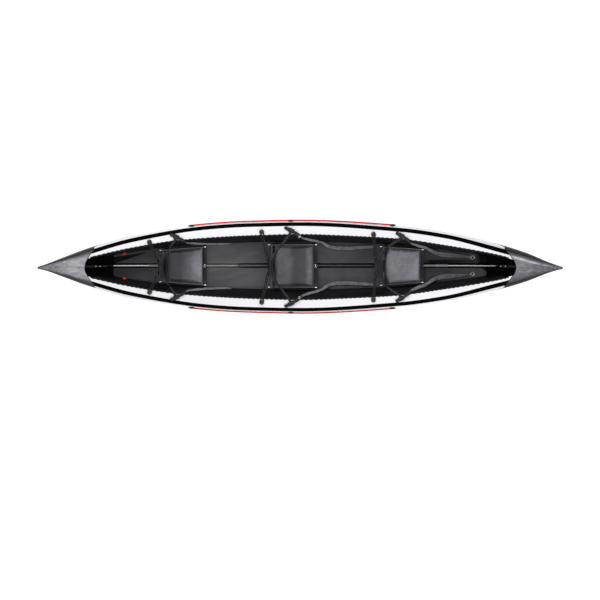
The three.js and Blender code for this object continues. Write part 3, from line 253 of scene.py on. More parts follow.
@lru_cache(maxsize=None)
def at_height(at, height):
    """The place on the side curve that lies at a height."""
    low, high = 0.0, 2.0
    for _ in range(30):
        middle = (low + high) / 2
        if side_at(at, middle)[1] >= height:
            high = middle
        else:
            low = middle
    return (low + high) / 2


@lru_cache(maxsize=None)
def band_low(at):
    return at_height(at, section(at).sheer - BAND_SIDE)


@lru_cache(maxsize=None)
def skin_top(at):
    if at <= BAND_END[-1] or at >= BAND_END[1]:
        return 2.0
    if at < PANEL_END[-1] or at > PANEL_END[1]:
        return band_low(at)
    return min(at_height(at, SHEER_HEIGHT * follow(SKIN_EDGE, at)), band_low(at) - 0.004)


def band_deck(at):
    return BAND_DECK / max(section(at).edge - section(at).coaming, 0.04)


def inside_point(side, at, place, lift):
    """A point on the deck, from 0, on the cockpit's wall, from 1, or on the mat, from 2."""
    curve = min(int(place), 2)
    return lifted((deck_at, wall_at, mat_at)[curve], side, at, place - curve, lift)


def on_deck(side, at, place):
    """A foot on the deck, and the deck's normal there."""
    foot = point(side, at, deck_at(at, place))
    return foot, (inside_point(side, at, place, 0.01) - foot).normalized()


def basis(foot, out, heading):
    """A frame that stands on foot, with z along out and x towards the heading."""
    x = (heading - out * heading.dot(out)).normalized()
    return Matrix.Translation(foot) @ Matrix((x, out.cross(x), out)).transposed().to_4x4()


# ---- Making objects
def dress(piece, slot, *nodes):
    """Hides the CAD nodes that a piece stands for; the slot meant for its finish is not used."""
    for node in nodes:
        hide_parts(node)
    return piece


def cloth_sheet(obj):
    """Returns a closed thin shell as it is; half of its surface is the flat area."""
    return obj


def shade_smooth(mesh):
    mesh.polygons.foreach_set("use_smooth", [True] * len(mesh.polygons))


def link(name, mesh):
    obj = bpy.data.objects.new(name, mesh)
    bpy.context.scene.collection.objects.link(obj)
    return obj


def mesh_object(name, verts, faces, material, body="boat", uvs=None):
    mesh = bpy.data.meshes.new(name)
    mesh.from_pydata([tuple(v) for v in verts], [], faces)
    mesh.validate()
    tool = bmesh.new()
    tool.from_mesh(mesh)
    bmesh.ops.recalc_face_normals(tool, faces=tool.faces)
    tool.to_mesh(mesh)
    tool.free()
    shade_smooth(mesh)
    if uvs is not None:
        layer = mesh.uv_layers.new(name="UVMap")
        for loop in mesh.loops:
            layer.data[loop.index].uv = uvs[loop.vertex_index]
    for one in material if isinstance(material, list) else [material]:
        mesh.materials.append(one)
    obj = link(name, mesh)
    if body:
        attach(obj, body)
    return obj


def loft(name, rings, material, body="boat", sharp=40, closed=False, uvs=None):
    """A skin over rings of points, with a cap at both ends or closed into a loop."""
    rows, columns = len(rings), len(rings[0])
    faces = []
    for i in range(rows if closed else rows - 1):
        here, there = i * columns, (i + 1) % rows * columns
        faces += [(here + j, here + (j + 1) % columns, there + (j + 1) % columns, there + j) for j in range(columns)]
    if not closed:
        faces += [tuple(range(columns - 1, -1, -1)), tuple(range((rows - 1) * columns, rows * columns))]
    obj = mesh_object(name, [p for ring in rings for p in ring], faces, material, body, uvs)
    obj.data.set_sharp_from_angle(angle=math.radians(sharp))
    return obj


def shell(name, stations, row, outside, inside, material, sharp=40):
    """A closed thin sheet: row(at, layer) gives its points on each of two layers."""
    return loft(name, [row(at, outside) + row(at, inside)[::-1] for at in stations], material, sharp=sharp)


def turn(sides):
    """Angles once round."""
    return [2 * math.pi * j / sides for j in range(sides)]


def smooth_path(points, steps):
    """Points along a centripetal Catmull-Rom curve."""
    pts = [Vector(p) for p in points]
    pts = [pts[0] * 2 - pts[1]] + pts + [pts[-1] * 2 - pts[-2]]
    out = []
    spans = len(pts) - 3
    for n in range(steps + 1):
        u = n / steps * spans
        k = min(int(u), spans - 1)
        p = pts[k:k + 4]
        t = [0.0]
        for i in range(3):
            t.append(t[-1] + max((p[i + 1] - p[i]).length, 1e-9) ** 0.5)
        x = lerp(t[1], t[2], u - k)

        def blend(a, i, j):
            return a[i] * ((t[i + j] - x) / (t[i + j] - t[i])) + a[i + 1] * ((x - t[i]) / (t[i + j] - t[i]))

        a = [blend(p, i, 1) for i in range(3)]
        b = [blend(a, i, 2) for i in range(2)]
        out.append(b[0] * ((t[2] - x) / (t[2] - t[1])) + b[1] * ((x - t[1]) / (t[2] - t[1])))
    return out


def direction(path, i):
    return (path[min(i + 1, len(path) - 1)] - path[max(i - 1, 0)]).normalized()


def frames_along(path):
    """A tangent and two crosswise directions at each point, turning as little as possible."""
    tangents = [direction(path, i) for i in range(len(path))]
    up = Vector((0, 0, 1)) if abs(tangents[0].z) < 0.9 else Vector((1, 0, 0))
    side = tangents[0].cross(up).normalized()
    out = []
    for tangent in tangents:
        side = (side - tangent * side.dot(tangent)).normalized()
        out.append((tangent, side, tangent.cross(side).normalized()))
    return out


def round_ring(centre, across, up, radius, sides):
    return [centre + across * (radius * math.cos(a)) + up * (radius * math.sin(a)) for a in turn(sides)]


def tube_rings(path, radius, sides=12):
    """Rings of a round tube with rounded ends. The radius may depend on the share of the way."""
    radii = [radius(i / (len(path) - 1)) if callable(radius) else radius for i in range(len(path))]
    frames = frames_along(path)
    stations = list(zip(path, radii, frames))

    def rounded(end, sign, angles):
        return [(path[end] + frames[end][0] * (sign * radii[end] * math.sin(a)), radii[end] * math.cos(a), frames[end])
                for a in angles]

    stations = rounded(0, -1, (1.35, 0.8)) + stations + rounded(-1, 1, (0.8, 1.35))
    return [round_ring(centre, side, up, r, sides) for centre, r, (_, side, up) in stations]


def tube(name, points, radius, material, body="boat", steps=None, sides=12):
    path = smooth_path(points, steps) if steps else [Vector(p) for p in points]
    return loft(name, tube_rings(path, radius, sides), material, body)


def merge(name, objects, body="boat"):
    """One object out of several that ride on the same body."""
    bpy.ops.object.select_all(action="DESELECT")
    for obj in objects:
        obj.parent = None
        obj.select_set(True)
    joined = bpy.context.view_layer.objects.active = objects[0]
    if len(objects) > 1:
        bpy.ops.object.join()
    joined.name = name
    joined.data.name = name
    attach(joined, body)
    return joined


def apply_modifiers(obj):
    deps = bpy.context.evaluated_depsgraph_get()
    mesh = bpy.data.meshes.new_from_object(obj.evaluated_get(deps))
    obj.modifiers.clear()
    old = obj.data
    obj.data = mesh
    bpy.data.meshes.remove(old)


def soften(obj, width, degrees):
    """Bevels every edge that is sharper than an angle."""
    modifier = obj.modifiers.new("edge", "BEVEL")
    modifier.width = width
    modifier.segments = 2
    modifier.limit_method = "ANGLE"
    modifier.angle_limit = math.radians(degrees)
    apply_modifiers(obj)


def fresh_copy(node, name, material, slot, bevel=0.0, sharp=35, body="boat"):
    """A finer stand-in for a rigid CAD node: the same form with softened edges."""
    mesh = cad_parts[node].data.copy()
    obj = link(name, mesh)
    mesh.materials.clear()
    mesh.materials.append(material)
    tool = bmesh.new()
    tool.from_mesh(mesh)
    bmesh.ops.remove_doubles(tool, verts=tool.verts, dist=2e-5)
    bmesh.ops.dissolve_limit(tool, angle_limit=math.radians(1), verts=tool.verts, edges=tool.edges)
    tool.to_mesh(mesh)
    tool.free()
    shade_smooth(mesh)
    mesh.polygons.foreach_set("material_index", [0] * len(mesh.polygons))
    if bevel:
        soften(obj, bevel, sharp)
    obj.data.set_sharp_from_angle(angle=math.radians(sharp))
    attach(obj, body)
    return dress(obj, slot, node)


def bar(x0, x1, y0, y1, thickness, place, matrix, material):
    """A softened bar in a frame, with its middle at a height."""
    corners = [(x0, y0), (x1, y0), (x1, y1), (x0, y1)]
    verts = [matrix @ Vector((x, y, place + half)) for half in (-thickness / 2, thickness / 2) for x, y in corners]
    faces = [(3, 2, 1, 0), (4, 5, 6, 7)] + [(j, (j + 1) % 4, 4 + (j + 1) % 4, 4 + j) for j in range(4)]
    plate = mesh_object("bar", verts, faces, material)
    soften(plate, 0.0012, 30)
    shade_smooth(plate.data)
    plate.data.set_sharp_from_angle(angle=math.radians(40))
    return plate


def disc_mesh(name, matrix, radius, low, high, material, sides=28, dome=0.0):
    edge = min(0.0012, (high - low) / 3)
    profile = ((low, radius), (high - edge, radius), (high, radius - edge), (high + dome * 0.7, radius * 0.6),
               (high + dome, radius * 0.15))
    rings = [[matrix @ Vector((r * math.cos(a), r * math.sin(a), z)) for a in turn(sides)] for z, r in profile]
    return loft(name, rings, material, sharp=45)


def ring_mesh(name, matrix, radius, wire, material):
    rings = [[matrix @ Vector(((radius + wire * math.cos(b)) * math.cos(a), (radius + wire * math.cos(b)) * math.sin(a),
                               wire * math.sin(b))) for b in turn(10)] for a in turn(32)]
    return loft(name, rings, material, sharp=45, closed=True)


def strap_mesh(name, path, outs, widths, thickness, material, body="boat", wave=0.0):
    """A flat strap with thinner edges, mapped in metres along it and inwards from its edges."""
    profile = [(share, face * thickness / 2 * (1 - max(0.0, abs(share) - 0.9) / 0.1 * 0.6))
               for face in (1, -1) for share in spread(-face, face, 8)]
    rings, uvs = [], []
    run = 0.0
    for i, centre in enumerate(path):
        if i:
            run += (centre - path[i - 1]).length
        along = direction(path, i)
        normal = (outs[i] - along * outs[i].dot(along)).normalized()
        across = along.cross(normal)
        half = widths[i] / 2
        cup = wave * math.sin(run * 2 * math.pi / 0.11)
        rings.append([centre + across * (share * half) + normal * (rise + cup * share * share)
                      for share, rise in profile])
        uvs += [(run, half - abs(share) * half) for share, _ in profile]
    return loft(name, rings, material, body, sharp=50, uvs=uvs)


# ---- Materials
def maths(operation):
    return lambda self, *others: self.nodes.math(operation, self, *others)


class Wire:
    """A node's output. Arithmetic on it adds Math nodes."""
    __add__, __sub__, __mul__, __truediv__ = map(maths, ("ADD", "SUBTRACT", "MULTIPLY", "DIVIDE"))
    __lt__, __gt__, __abs__ = map(maths, ("LESS_THAN", "GREATER_THAN", "ABSOLUTE"))
    at_most, at_least, sine = map(maths, ("MINIMUM", "MAXIMUM", "SINE"))
    times_plus = maths("MULTIPLY_ADD")

    def __init__(self, nodes, socket):
        self.nodes = nodes
        self.socket = socket

    def range(self, low, high, to_low=0.0, to_high=1.0):
        return self.nodes.add("ShaderNodeMapRange", {"Value": self, "From Min": low, "From Max": high,
                                                     "To Min": to_low, "To Max": to_high})


class Nodes:
    """A short way to write the nodes of a material or of the world."""

    def __init__(self, owner):
        self.owner = owner
        owner.use_nodes = True
        self.tree = owner.node_tree
        self.tree.nodes.clear()
        self.where = self.add("ShaderNodeTexCoord", output="Object")
        self.x, self.y, self.z = (self.add("ShaderNodeSeparateXYZ", {"Vector": self.where}, axis) for axis in "XYZ")

    def node(self, kind, inputs=None, **settings):
        node = self.tree.nodes.new(kind)
        for key, value in settings.items():
            setattr(node, key, value)
        for key, value in (inputs or {}).items():
            if isinstance(value, Wire):
                self.tree.links.new(value.socket, node.inputs[key])
            elif value is not None:
                node.inputs[key].default_value = value
        return node

    def add(self, kind, inputs=None, output=0, **settings):
        return Wire(self, self.node(kind, inputs, **settings).outputs[output])

    def math(self, operation, *values):
        return self.add("ShaderNodeMath", dict(enumerate(values)), operation=operation)

    def noise(self, scale, detail=3.0, rough=0.55, where=None, warp=0.0):
        return self.add("ShaderNodeTexNoise", {"Vector": where or self.where, "Scale": scale, "Detail": detail,
                                               "Roughness": rough, "Distortion": warp}, "Fac")

    def cells(self, scale):
        return self.add("ShaderNodeTexVoronoi", {"Vector": self.where, "Scale": scale}, "Distance")

    def wave(self, pitch, axis):
        inputs = {"Vector": self.where, "Scale": 2 * math.pi / (20 * pitch)}
        return self.add("ShaderNodeTexWave", inputs, "Fac", bands_direction=axis)

    def stretch(self, x, y, z):
        return self.add("ShaderNodeMapping", {"Vector": self.where, "Scale": (x, y, z)})

    def ramp(self, value, stops):
        node = self.node("ShaderNodeValToRGB", {"Fac": value})
        elements = node.color_ramp.elements
        while len(elements) < len(stops):
            elements.new(0.5)
        for element, (position, colour) in zip(elements, stops):
            element.position = position
            element.color = (*colour, 1)
        return Wire(self, node.outputs[0])

    def mix(self, factor, a, b):
        a, b = (value if isinstance(value, Wire) else (*value, 1) for value in (a, b))
        return self.add("ShaderNodeMix", {0: factor, 6: a, 7: b}, 2, data_type="RGBA")

    def bump(self, height, distance, strength=1.0, under=None):
        inputs = {"Height": height, "Distance": distance, "Strength": strength, "Normal": under}
        return self.add("ShaderNodeBump", inputs)

    def weave(self, pitch=0.0016, depth=0.00012):
        """A plain weave that needs no unwrapping."""
        x, y, z = (self.wave(pitch, axis) for axis in "XYZ")
        return self.bump(x * y.at_least(z), depth, 0.5)

    def end(self, kind, shader):
        self.node(kind, {"Surface": shader})
        return self.owner

    def finish(self, colour, roughness, normal, **constants):
        inputs = {key.replace("_", " "): value for key, value in constants.items()}
        inputs.update({"Base Color": colour, "Roughness": roughness, "Normal": normal})
        return self.end("ShaderNodeOutputMaterial", self.add("ShaderNodeBsdfPrincipled", inputs))


def material_nodes(name):
    return Nodes(bpy.data.materials.new(name))


def srgb(*values):
    return tuple((v / 255 / 12.92) if v / 255 <= 0.04045 else ((v / 255 + 0.055) / 1.055) ** 2.4 for v in values)


def dimmed(colour, share):
    return tuple(v * share for v in colour)


def coated_fabric(name, dark, light, rough=(0.4, 0.6), blotch=2.2, crease=0.0, coat=0.0, gloss=0.25):
    n = material_nodes(name)
    cloud = n.noise(blotch, 4, 0.6, warp=0.4)
    colour = n.ramp(n.noise(240, 2).times_plus(0.25, cloud * 0.75), [(0.3, srgb(*dark)), (0.72, srgb(*light))])
    normal = n.weave()
    if crease:
        normal = n.bump(n.noise(9, 3, 0.5, n.stretch(0.5, 1.2, 1.2), 0.8), crease, 0.6, normal)
    return n.finish(colour, n.noise(14, 3).range(0.3, 0.75, *rough), normal, Coat_Weight=coat, Coat_Roughness=0.25,
                    Specular_IOR_Level=gloss)


def skin_material():
    """Dark coated fabric: brown-black low down, greyer high up as a painted highlight and greyer at the tips; painted
    shade makes it darkest where it faces up.
    """
    n = material_nodes("hull_skin_fabric")
    cloud = n.noise(3.5, 4, 0.6, n.stretch(0.35, 1, 1), 0.6)
    low = n.mix(cloud, srgb(25, 23, 22), srgb(38, 34, 33))
    high = n.mix(cloud, srgb(48, 48, 53), srgb(64, 64, 70))
    # The greyer colour high up is a painted highlight.
    tone = n.z.range(0.02, 0.34) + n.noise(6, 2).times_plus(0.3, -0.15)
    colour = n.mix(tone.at_least(0.0).at_most(1.0), low, high)
    colour = n.mix(abs(n.x).range(1.5, 0.6, 0.0, 0.55), colour, srgb(10, 10, 11))
    ends = n.x.range(-1.95, -2.5, 0.0, 0.95).at_least(n.x.range(2.15, 2.6, 0.0, 0.5))
    colour = n.mix(ends, colour, n.mix(cloud, srgb(84, 84, 90), srgb(116, 116, 124)))
    # Painted shade: the skin is darkest where it faces up.
    normal = n.add("ShaderNodeNewGeometry", output="Normal")
    facing = n.add("ShaderNodeSeparateXYZ", {"Vector": normal}, "Z")
    colour = n.mix(facing.range(0.12, 0.4, 0.0, 0.92), colour, srgb(20, 20, 22))
    # Lighter streaks towards the bottom.
    low_streaks = n.noise(70, 5, 0.7, n.stretch(0.12, 1, 1)).range(0.62, 0.8)
    colour = n.mix(low_streaks * n.z.range(0.1, 0.0), colour, srgb(80, 76, 74))
    folds = n.noise(5, 3, 0.5, n.stretch(0.4, 1, 1), 0.8)
    return n.finish(colour, n.noise(12, 3).range(0.3, 0.75, 0.42, 0.6),
                    n.bump(folds, 0.006, 0.5, n.weave(0.0018, 0.00016)), Specular_IOR_Level=0.16)


def mat_material():
    """Pebbled foam floor mats: grey with brown streaks that are partly brown tint and partly painted sheen, and black
    where the photograph shows deep shade.
    """
    n = material_nodes("floor_mat_foam")
    wide = n.noise(1.4, 4, 0.6, n.stretch(0.6, 1.4, 1), 1.2)
    colour = n.ramp(wide, [(0.3, srgb(80, 80, 83)), (0.5, srgb(101, 101, 105)), (0.66, srgb(120, 117, 117)),
                           (0.8, srgb(99, 99, 104))])
    # Brown streaks: partly brown tint, partly painted sheen.
    tint_and_sheen = n.noise(3, 3, 0.6, n.stretch(0.3, 2.5, 1), 0.6).range(0.55, 0.8)
    colour = n.mix(tint_and_sheen * 0.4, colour, srgb(146, 136, 129))
    dim = n.x.range(-0.5, -0.3, 0.0, 0.24) + n.x.range(1.0, 1.3, 0.0, 0.2) - n.x.range(1.55, 1.85, 0.0, 0.4)
    # Painted shadow in black: a wedge under the port wall at the stern, a strip beside the keel on the port side
    # towards the bow, and the mats' bow ends.
    wedge = (n.y - n.x.times_plus(0.33, 0.655)).range(-0.006, 0.006)
    wedge = wedge * (n.x.times_plus(0.137, 0.353) - n.y).range(-0.005, 0.005) * n.x.range(-1.5, -1.6)
    slot = n.y.range(0.018, 0.026) * n.y.range(0.068, 0.056)
    slot = slot * (n.x.range(1.2, 1.35) * n.x.range(1.75, 1.5, 0.6, 1.0))
    bend = n.y + (n.x + -1.87).at_least(0.0) * 0.8
    nose = bend.range(-0.028, -0.008) * n.x.range(1.78, 1.86)
    colour = n.mix(wedge.at_least(slot).at_least(nose.at_least(dim)), colour, srgb(4, 4, 5))
    normal = n.bump(n.noise(7, 3), 0.003, 0.5, n.bump(n.cells(420.0), 0.0003, 0.5))
    return n.finish(colour, n.noise(9, 3).range(0.3, 0.7, 0.5, 0.75), normal, Specular_IOR_Level=0.12)


def webbing_material(name, dark, light, dark_top=False):
    """Woven webbing with bound edges and a stitched line near each, by its own map in metres."""
    n = material_nodes(name)
    uv = n.add("ShaderNodeUVMap", uv_map="UVMap")
    along, across = (n.add("ShaderNodeSeparateXYZ", {"Vector": uv}, axis) for axis in "XY")
    height = (along * (2 * math.pi / 0.0022)).sine() * (across * (2 * math.pi / 0.0016)).sine()
    cloud = n.noise(30, 3)
    colour = n.ramp(height.times_plus(0.12, cloud), [(0.3, srgb(*dark)), (0.75, srgb(*light))])
    stitch = (abs(across - 0.0045) < 0.0007) * ((along * (2 * math.pi / 0.006)).sine() > -0.3)
    if dark_top:
        colour = n.mix(n.z.range(0.27, 0.32, 0.0, 0.93), colour, srgb(10, 10, 11))
    colour = n.mix(across.range(0.006, 0.003), colour, srgb(8, 8, 9))
    colour = n.mix(stitch * 0.6, colour, srgb(110, 110, 116))
    normal = n.bump(stitch.times_plus(1.5, height), 0.0002, 0.8)
    return n.finish(colour, cloud.range(0.3, 0.7, 0.6, 0.8), normal, Specular_IOR_Level=0.25)


def cord_material(name, dark, light, pitch=0.006):
    """A braided sheath: two slanted waves that cross."""
    n = material_nodes(name)
    braid = n.wave(pitch, "DIAGONAL") * n.wave(pitch * 0.8, "X")
    colour = n.ramp(n.noise(60, 2).times_plus(0.4, braid * 0.6), [(0.15, srgb(*dark)), (0.6, srgb(*light))])
    return n.finish(colour, braid.range(0, 1, 0.55, 0.75), n.bump(braid, 0.0006, 0.8), Specular_IOR_Level=0.25)


def metal_nodes(name, bright):
    """Drawn tube: long fine scratches over a bright base."""
    n = material_nodes(name)
    streak = n.noise(160, 3, 0.7, n.stretch(0.04, 1, 1))
    return n, streak, n.mix(streak.range(0.35, 0.7), bright, dimmed(bright, 0.8))


def metal_finish(n, streak, colour, rough, metallic):
    return n.finish(colour, n.noise(25, 3).range(0.3, 0.7, *rough), n.bump(streak, 0.00008, 0.6), Metallic=metallic)


def metal_material(name, bright, rough=(0.22, 0.4)):
    n, streak, colour = metal_nodes(name, srgb(*bright))
    return metal_finish(n, streak, colour, rough, 0.85)


def keel_material(label, bare_from, bare_to, bare, dark_tone, metallic, lighter_aft):
    """Tube that is bare from one place to another and dark beyond them."""
    n, streak, colour = metal_nodes(f"keel_metal_{label}", srgb(bare, bare + 1, bare + 4))
    dark = srgb(dark_tone, dark_tone, dark_tone + 3)
    inside = (n.x > bare_from) * (n.x < bare_to)
    if lighter_aft:
        dark = n.mix(n.x.range(-0.45, -0.3), tuple(min(1, v * 1.9 + 0.035) for v in dark), dark)
    return metal_finish(n, streak, n.mix(inside, dark, colour), (0.1, 0.2), metallic)


def plastic_material(name, dark, light, rough=(0.35, 0.55), gloss=0.35):
    n = material_nodes(name)
    colour = n.ramp(n.noise(20, 4), [(0.35, srgb(*dark)), (0.7, srgb(*light))])
    return n.finish(colour, n.noise(40, 3).range(0.3, 0.7, *rough), n.bump(n.cells(900.0), 0.00012, 0.6),
                    Specular_IOR_Level=gloss)


def pad_material(name, dark, light, mottle=0.0, rough=(0.38, 0.55), painted_shading=()):
    """Clouded seat fabric, with painted shade and light in bands across, each band given as (x, share of the colour
    that is left).
    """
    n = material_nodes(name)
    colour = n.ramp(n.noise(7, 4, 0.6, warp=0.6), [(0.3, srgb(*dark)), (0.7, srgb(*light))])
    if mottle:
        spots = n.noise(150, 5, 0.75).range(0.42, 0.62)
        colour = n.mix(spots * mottle, colour, dimmed(srgb(*light), 2.4))
    # Painted shade and light in bands across the pad.
    if painted_shading:
        low, high = painted_shading[0][0], painted_shading[-1][0]
        where = n.x.range(low, high) + n.noise(9, 2).times_plus(0.08, -0.04)
        colour = n.mix(n.ramp(where, [((x - low) / (high - low), (v, v, v)) for x, v in painted_shading]),
                       (0.004, 0.004, 0.005), colour)
    normal = n.bump(n.noise(28, 4, 0.6, warp=0.5), 0.0022, 0.6, n.weave(0.0014, 0.00014))
    return n.finish(colour, n.noise(11, 3).range(0.3, 0.7, *rough), normal, Coat_Weight=0.1, Coat_Roughness=0.35,
                    Specular_IOR_Level=0.35)


def cover_material():
    """Grey coated cover: clouded, puckered towards the tip with painted shade in the crumples, darker along both edges,
    with painted shade over the starboard half and a painted highlight line along the bow cover.
    """
    n = material_nodes("cover_fabric")
    cloud = n.noise(9, 5, 0.65, n.stretch(1, 1.6, 1), 1.0)
    streak = n.noise(26, 3, 0.6, n.stretch(0.3, 1.6, 1), 0.6)
    tone = streak.times_plus(0.4, cloud * 0.6)
    stern, bow_colour = (n.ramp(tone, [(place, srgb(g, g, g + more)) for place, g, more in stops]) for stops in (
        ((0.34, 112, 5), (0.5, 158, 6), (0.66, 190, 6)), ((0.34, 84, 4), (0.5, 122, 5), (0.66, 160, 6))))
    bow = n.x > 0.0
    colour = n.mix(bow, stern, bow_colour)
    share = n.y / abs(n.x).range(2.1, 2.66, 0.165, 0.006)
    # Painted shade over the starboard half and in from the port edge, stronger on the bow cover.
    shade = share.range(-0.1, -0.7, 0.0, 0.5) + share.range(0.62, 0.85, 0.0, 0.3)
    colour = n.mix(bow.times_plus(0.6, 0.4) * shade, colour, srgb(44, 44, 47))
    # Painted highlight: a bright streaky line along the bow cover, to port of its middle.
    highlight_line = abs(share - n.x.range(2.25, 2.56, 0.72, 0.42))
    colour = n.mix(highlight_line.range(0.15, 0.02) * (bow * streak.range(0.35, 0.6, 0.25, 0.9)), colour, srgb(228, 228, 234))
    # Painted shade in the crumples near both tips.
    crumple_shade = n.noise(38, 4, 0.6, n.stretch(1, 1.2, 1), 1.5)
    colour = n.mix(abs(n.x).range(2.33, 2.48) * crumple_shade.range(0.42, 0.6, 0.12, 0.7), colour, srgb(40, 40, 43))
    colour = n.mix(abs(share).range(0.8, 0.98) * 0.85, colour, srgb(24, 24, 26))
    colour = n.mix(abs(n.y).range(0.006, 0.0) * 0.3, colour, srgb(60, 60, 63))
    return n.finish(colour, cloud.range(0.3, 0.7, 0.4, 0.6), n.bump(cloud, 0.006, 0.7, n.weave()), Coat_Weight=0.08,
                    Coat_Roughness=0.35, Specular_IOR_Level=0.35)


SKIN_MAT = skin_material()
INSIDE_MAT = coated_fabric("inner_fabric", (2, 2, 2), (8, 8, 9), (0.6, 0.8), 3.0, 0.006, gloss=0.08)
# The panel fabric is a greyer white than the deck's: partly its own tone, partly painted shade.
PANEL_MAT = coated_fabric("panel_fabric", (206, 208, 213), (222, 223, 227), (0.35, 0.5), 1.6, coat=0.05)
STRIP_MAT = coated_fabric("weld_strip_fabric", (236, 236, 238), (246, 246, 247), (0.3, 0.42), 2.0, coat=0.05)
DECK_MAT = coated_fabric("deck_fabric", (238, 238, 241), (248, 248, 250), (0.35, 0.5), 1.2)
BAND_MAT = coated_fabric("band_fabric", (1, 1, 1), (5, 5, 6), (0.6, 0.75), 4.0, gloss=0.02)
HEM_MAT = coated_fabric("gathered_hem_fabric", (6, 6, 7), (24, 24, 26), (0.5, 0.7), 12.0, 0.003, gloss=0.15)
WALL_MAT = coated_fabric("cockpit_wall_fabric", (7, 7, 8), (28, 28, 30), (0.45, 0.65), 5.0, 0.006, gloss=0.12)
MAT_MAT = mat_material()
WEB_MAT = webbing_material("webbing_weave", (104, 104, 109), (150, 150, 156), True)
DECK_WEB_MAT = webbing_material("deck_webbing_weave", (14, 14, 15), (38, 38, 41))
BACK_WEB_MAT = webbing_material("back_strap_weave", (16, 16, 17), (38, 38, 41))
ROPE_MAT = cord_material("rope_braid", (194, 10, 22), (244, 38, 46))
ELASTIC_MAT = cord_material("elastic_braid", (12, 12, 13), (38, 38, 41), 0.004)
RAIL_MAT = metal_material("rail_tube", (84, 86, 90), (0.3, 0.45))
STEEL_MAT = metal_material("bolt_steel", (222, 222, 224), (0.15, 0.3))
BLACK_MAT = plastic_material("moulded_black", (8, 8, 9), (22, 22, 24), gloss=0.25)
KNOB_MAT = plastic_material("knob_black", (8, 8, 9), (26, 26, 28), (0.3, 0.45))
CAP_MAT = plastic_material("cap_red", (244, 52, 30), (255, 92, 62), (0.3, 0.45))
PATCH_MAT = plastic_material("rope_patch_black", (10, 10, 11), (24, 24, 26), (0.4, 0.55))
PIPING_MAT = coated_fabric("piping_fabric", (12, 12, 13), (34, 34, 37), (0.4, 0.55), 8.0)
SEAM_MAT = coated_fabric("seam_fabric", (120, 120, 126), (160, 160, 165), (0.3, 0.45), 8.0)
PAD_EDGE_MAT = coated_fabric("pad_piping_fabric", (64, 64, 68), (120, 120, 126), (0.3, 0.45), 9.0, coat=0.15)
THREAD_MAT = coated_fabric("seam_thread", (40, 40, 43), (80, 80, 84), (0.5, 0.7), 30.0)
SLEEVE_MAT = coated_fabric("sleeve_fabric", (10, 10, 11), (30, 30, 32), (0.5, 0.7), 14.0, 0.002)
BACK_MAT = pad_material("backrest_fabric", (14, 14, 16), (38, 38, 41), rough=(0.45, 0.6))
PAD_MATS = [
    pad_material("seat_fabric_1", (116, 116, 122), (156, 156, 163),
                 painted_shading=[(-1.44, 0.4), (-1.34, 0.26), (-1.24, 0.2), (-1.13, 0.5), (-1.05, 0.95), (-1.01, 1.0),
                        (-0.99, 0.6)]),
    pad_material("seat_fabric_2", (104, 104, 109), (136, 136, 142),
                 painted_shading=[(-0.26, 0.7), (-0.12, 0.72), (-0.06, 0.26), (0.05, 0.26), (0.09, 0.72), (0.12, 0.68),
                        (0.17, 0.36)]),
    pad_material("seat_fabric_3", (96, 96, 100), (140, 140, 147), 0.5),
]
COVER_MAT = cover_material()

# ---- Camera, floor and light
PIXELS_PER_METRE = 97.57
PICTURE_SIZE = 600
KEEL_ROW = 266.9
LENS = 180.0
SENSOR = 36.0
LEAN = math.radians(3.5)
PICTURE_Y = -(PICTURE_SIZE / 2 - KEEL_ROW) / PIXELS_PER_METRE
EYE_HEIGHT = PICTURE_SIZE / PIXELS_PER_METRE * LENS / SENSOR
camera = link("camera", bpy.data.cameras.new("camera"))
camera.data.lens = LENS
camera.data.sensor_width = SENSOR
camera.data.clip_end = 200
camera.location = (0, PICTURE_Y + EYE_HEIGHT * math.sin(LEAN), SHEER_HEIGHT + EYE_HEIGHT * math.cos(LEAN))
camera.rotation_euler = (-LEAN, 0, 0)
bpy.context.scene.camera = camera

LIGHTS = (("key", (-0.8, 4.6, 4.4), (6.0, 2.0), 202), ("fill", (1.0, -4.5, 4.0), (6.0, 2.5), 150))
for name, where, size, power in LIGHTS:
    data = bpy.data.lights.new(name, "AREA")
    data.shape = "RECTANGLE"
    data.size, data.size_y = size
    data.energy = power
    lamp = link(name, data)
    lamp.location = where
    lamp.rotation_euler = (Vector((0, 0, 0.1)) - Vector(where)).to_track_quat("-Z", "Y").to_euler()

world = bpy.data.worlds.new("studio")
bpy.context.scene.world = world
n = Nodes(world)
straight, glossy, through = (n.add("ShaderNodeLightPath", output=f"Is {ray} Ray")
                             for ray in ("Camera", "Glossy", "Transmission"))
soft, plain = (n.add("ShaderNodeBackground", {"Color": (1, 1, 1, 1), "Strength": strength}) for strength in (0.5, 1.0))
seen = (straight + glossy + through).at_most(1.0)
n.end("ShaderNodeOutputWorld", n.add("ShaderNodeMixShader", {0: seen, 1: soft, 2: plain}))

n = material_nodes("floor_white")
floor_colour = n.ramp(n.noise(0.8, 2), [(0.3, (0.93, 0.93, 0.93)), (0.7, (0.95, 0.95, 0.95))])
floor_material = n.finish(floor_colour, 0.9, None, Emission_Color=(1, 1, 1, 1), Emission_Strength=0.52,
                          Specular_IOR_Level=0.0)
floor = mesh_object("floor", [(-40, -40, -0.001), (40, -40, -0.001), (40, 40, -0.001), (-40, 40, -0.001)],
                    [(0, 1, 2, 3)], floor_material, body=None)

# ---- Deck lines: crimson rope, held taut by three eyes on each side
ROPE_X = [-0.4138 * HALF_LENGTH, -0.0355 * HALF_LENGTH, 0.3525 * HALF_LENGTH]
ROPE_Z = 0.848 * SHEER_HEIGHT
ROPE_R = 0.0075
ROPE_LIFT = 0.003 + 0.0065 + GAP
ROPE_LAY = 0.045


def rope_point(side, x, lift):
    at = x / HALF_LENGTH
    return lifted(side_at, side, at, at_height(at, ROPE_Z), lift)


def rope_ring(centre, across, up, run):
    """A round of the rope, with three strands that turn once in each lay."""
    ring = []
    for angle in turn(18):
        radius = ROPE_R - 0.0006 * (1 - abs(math.cos(1.5 * (angle - run * 2 * math.pi / ROPE_LAY))))
        ring.append(centre + across * (radius * math.cos(angle)) + up * (radius * math.sin(angle)))
    return ring


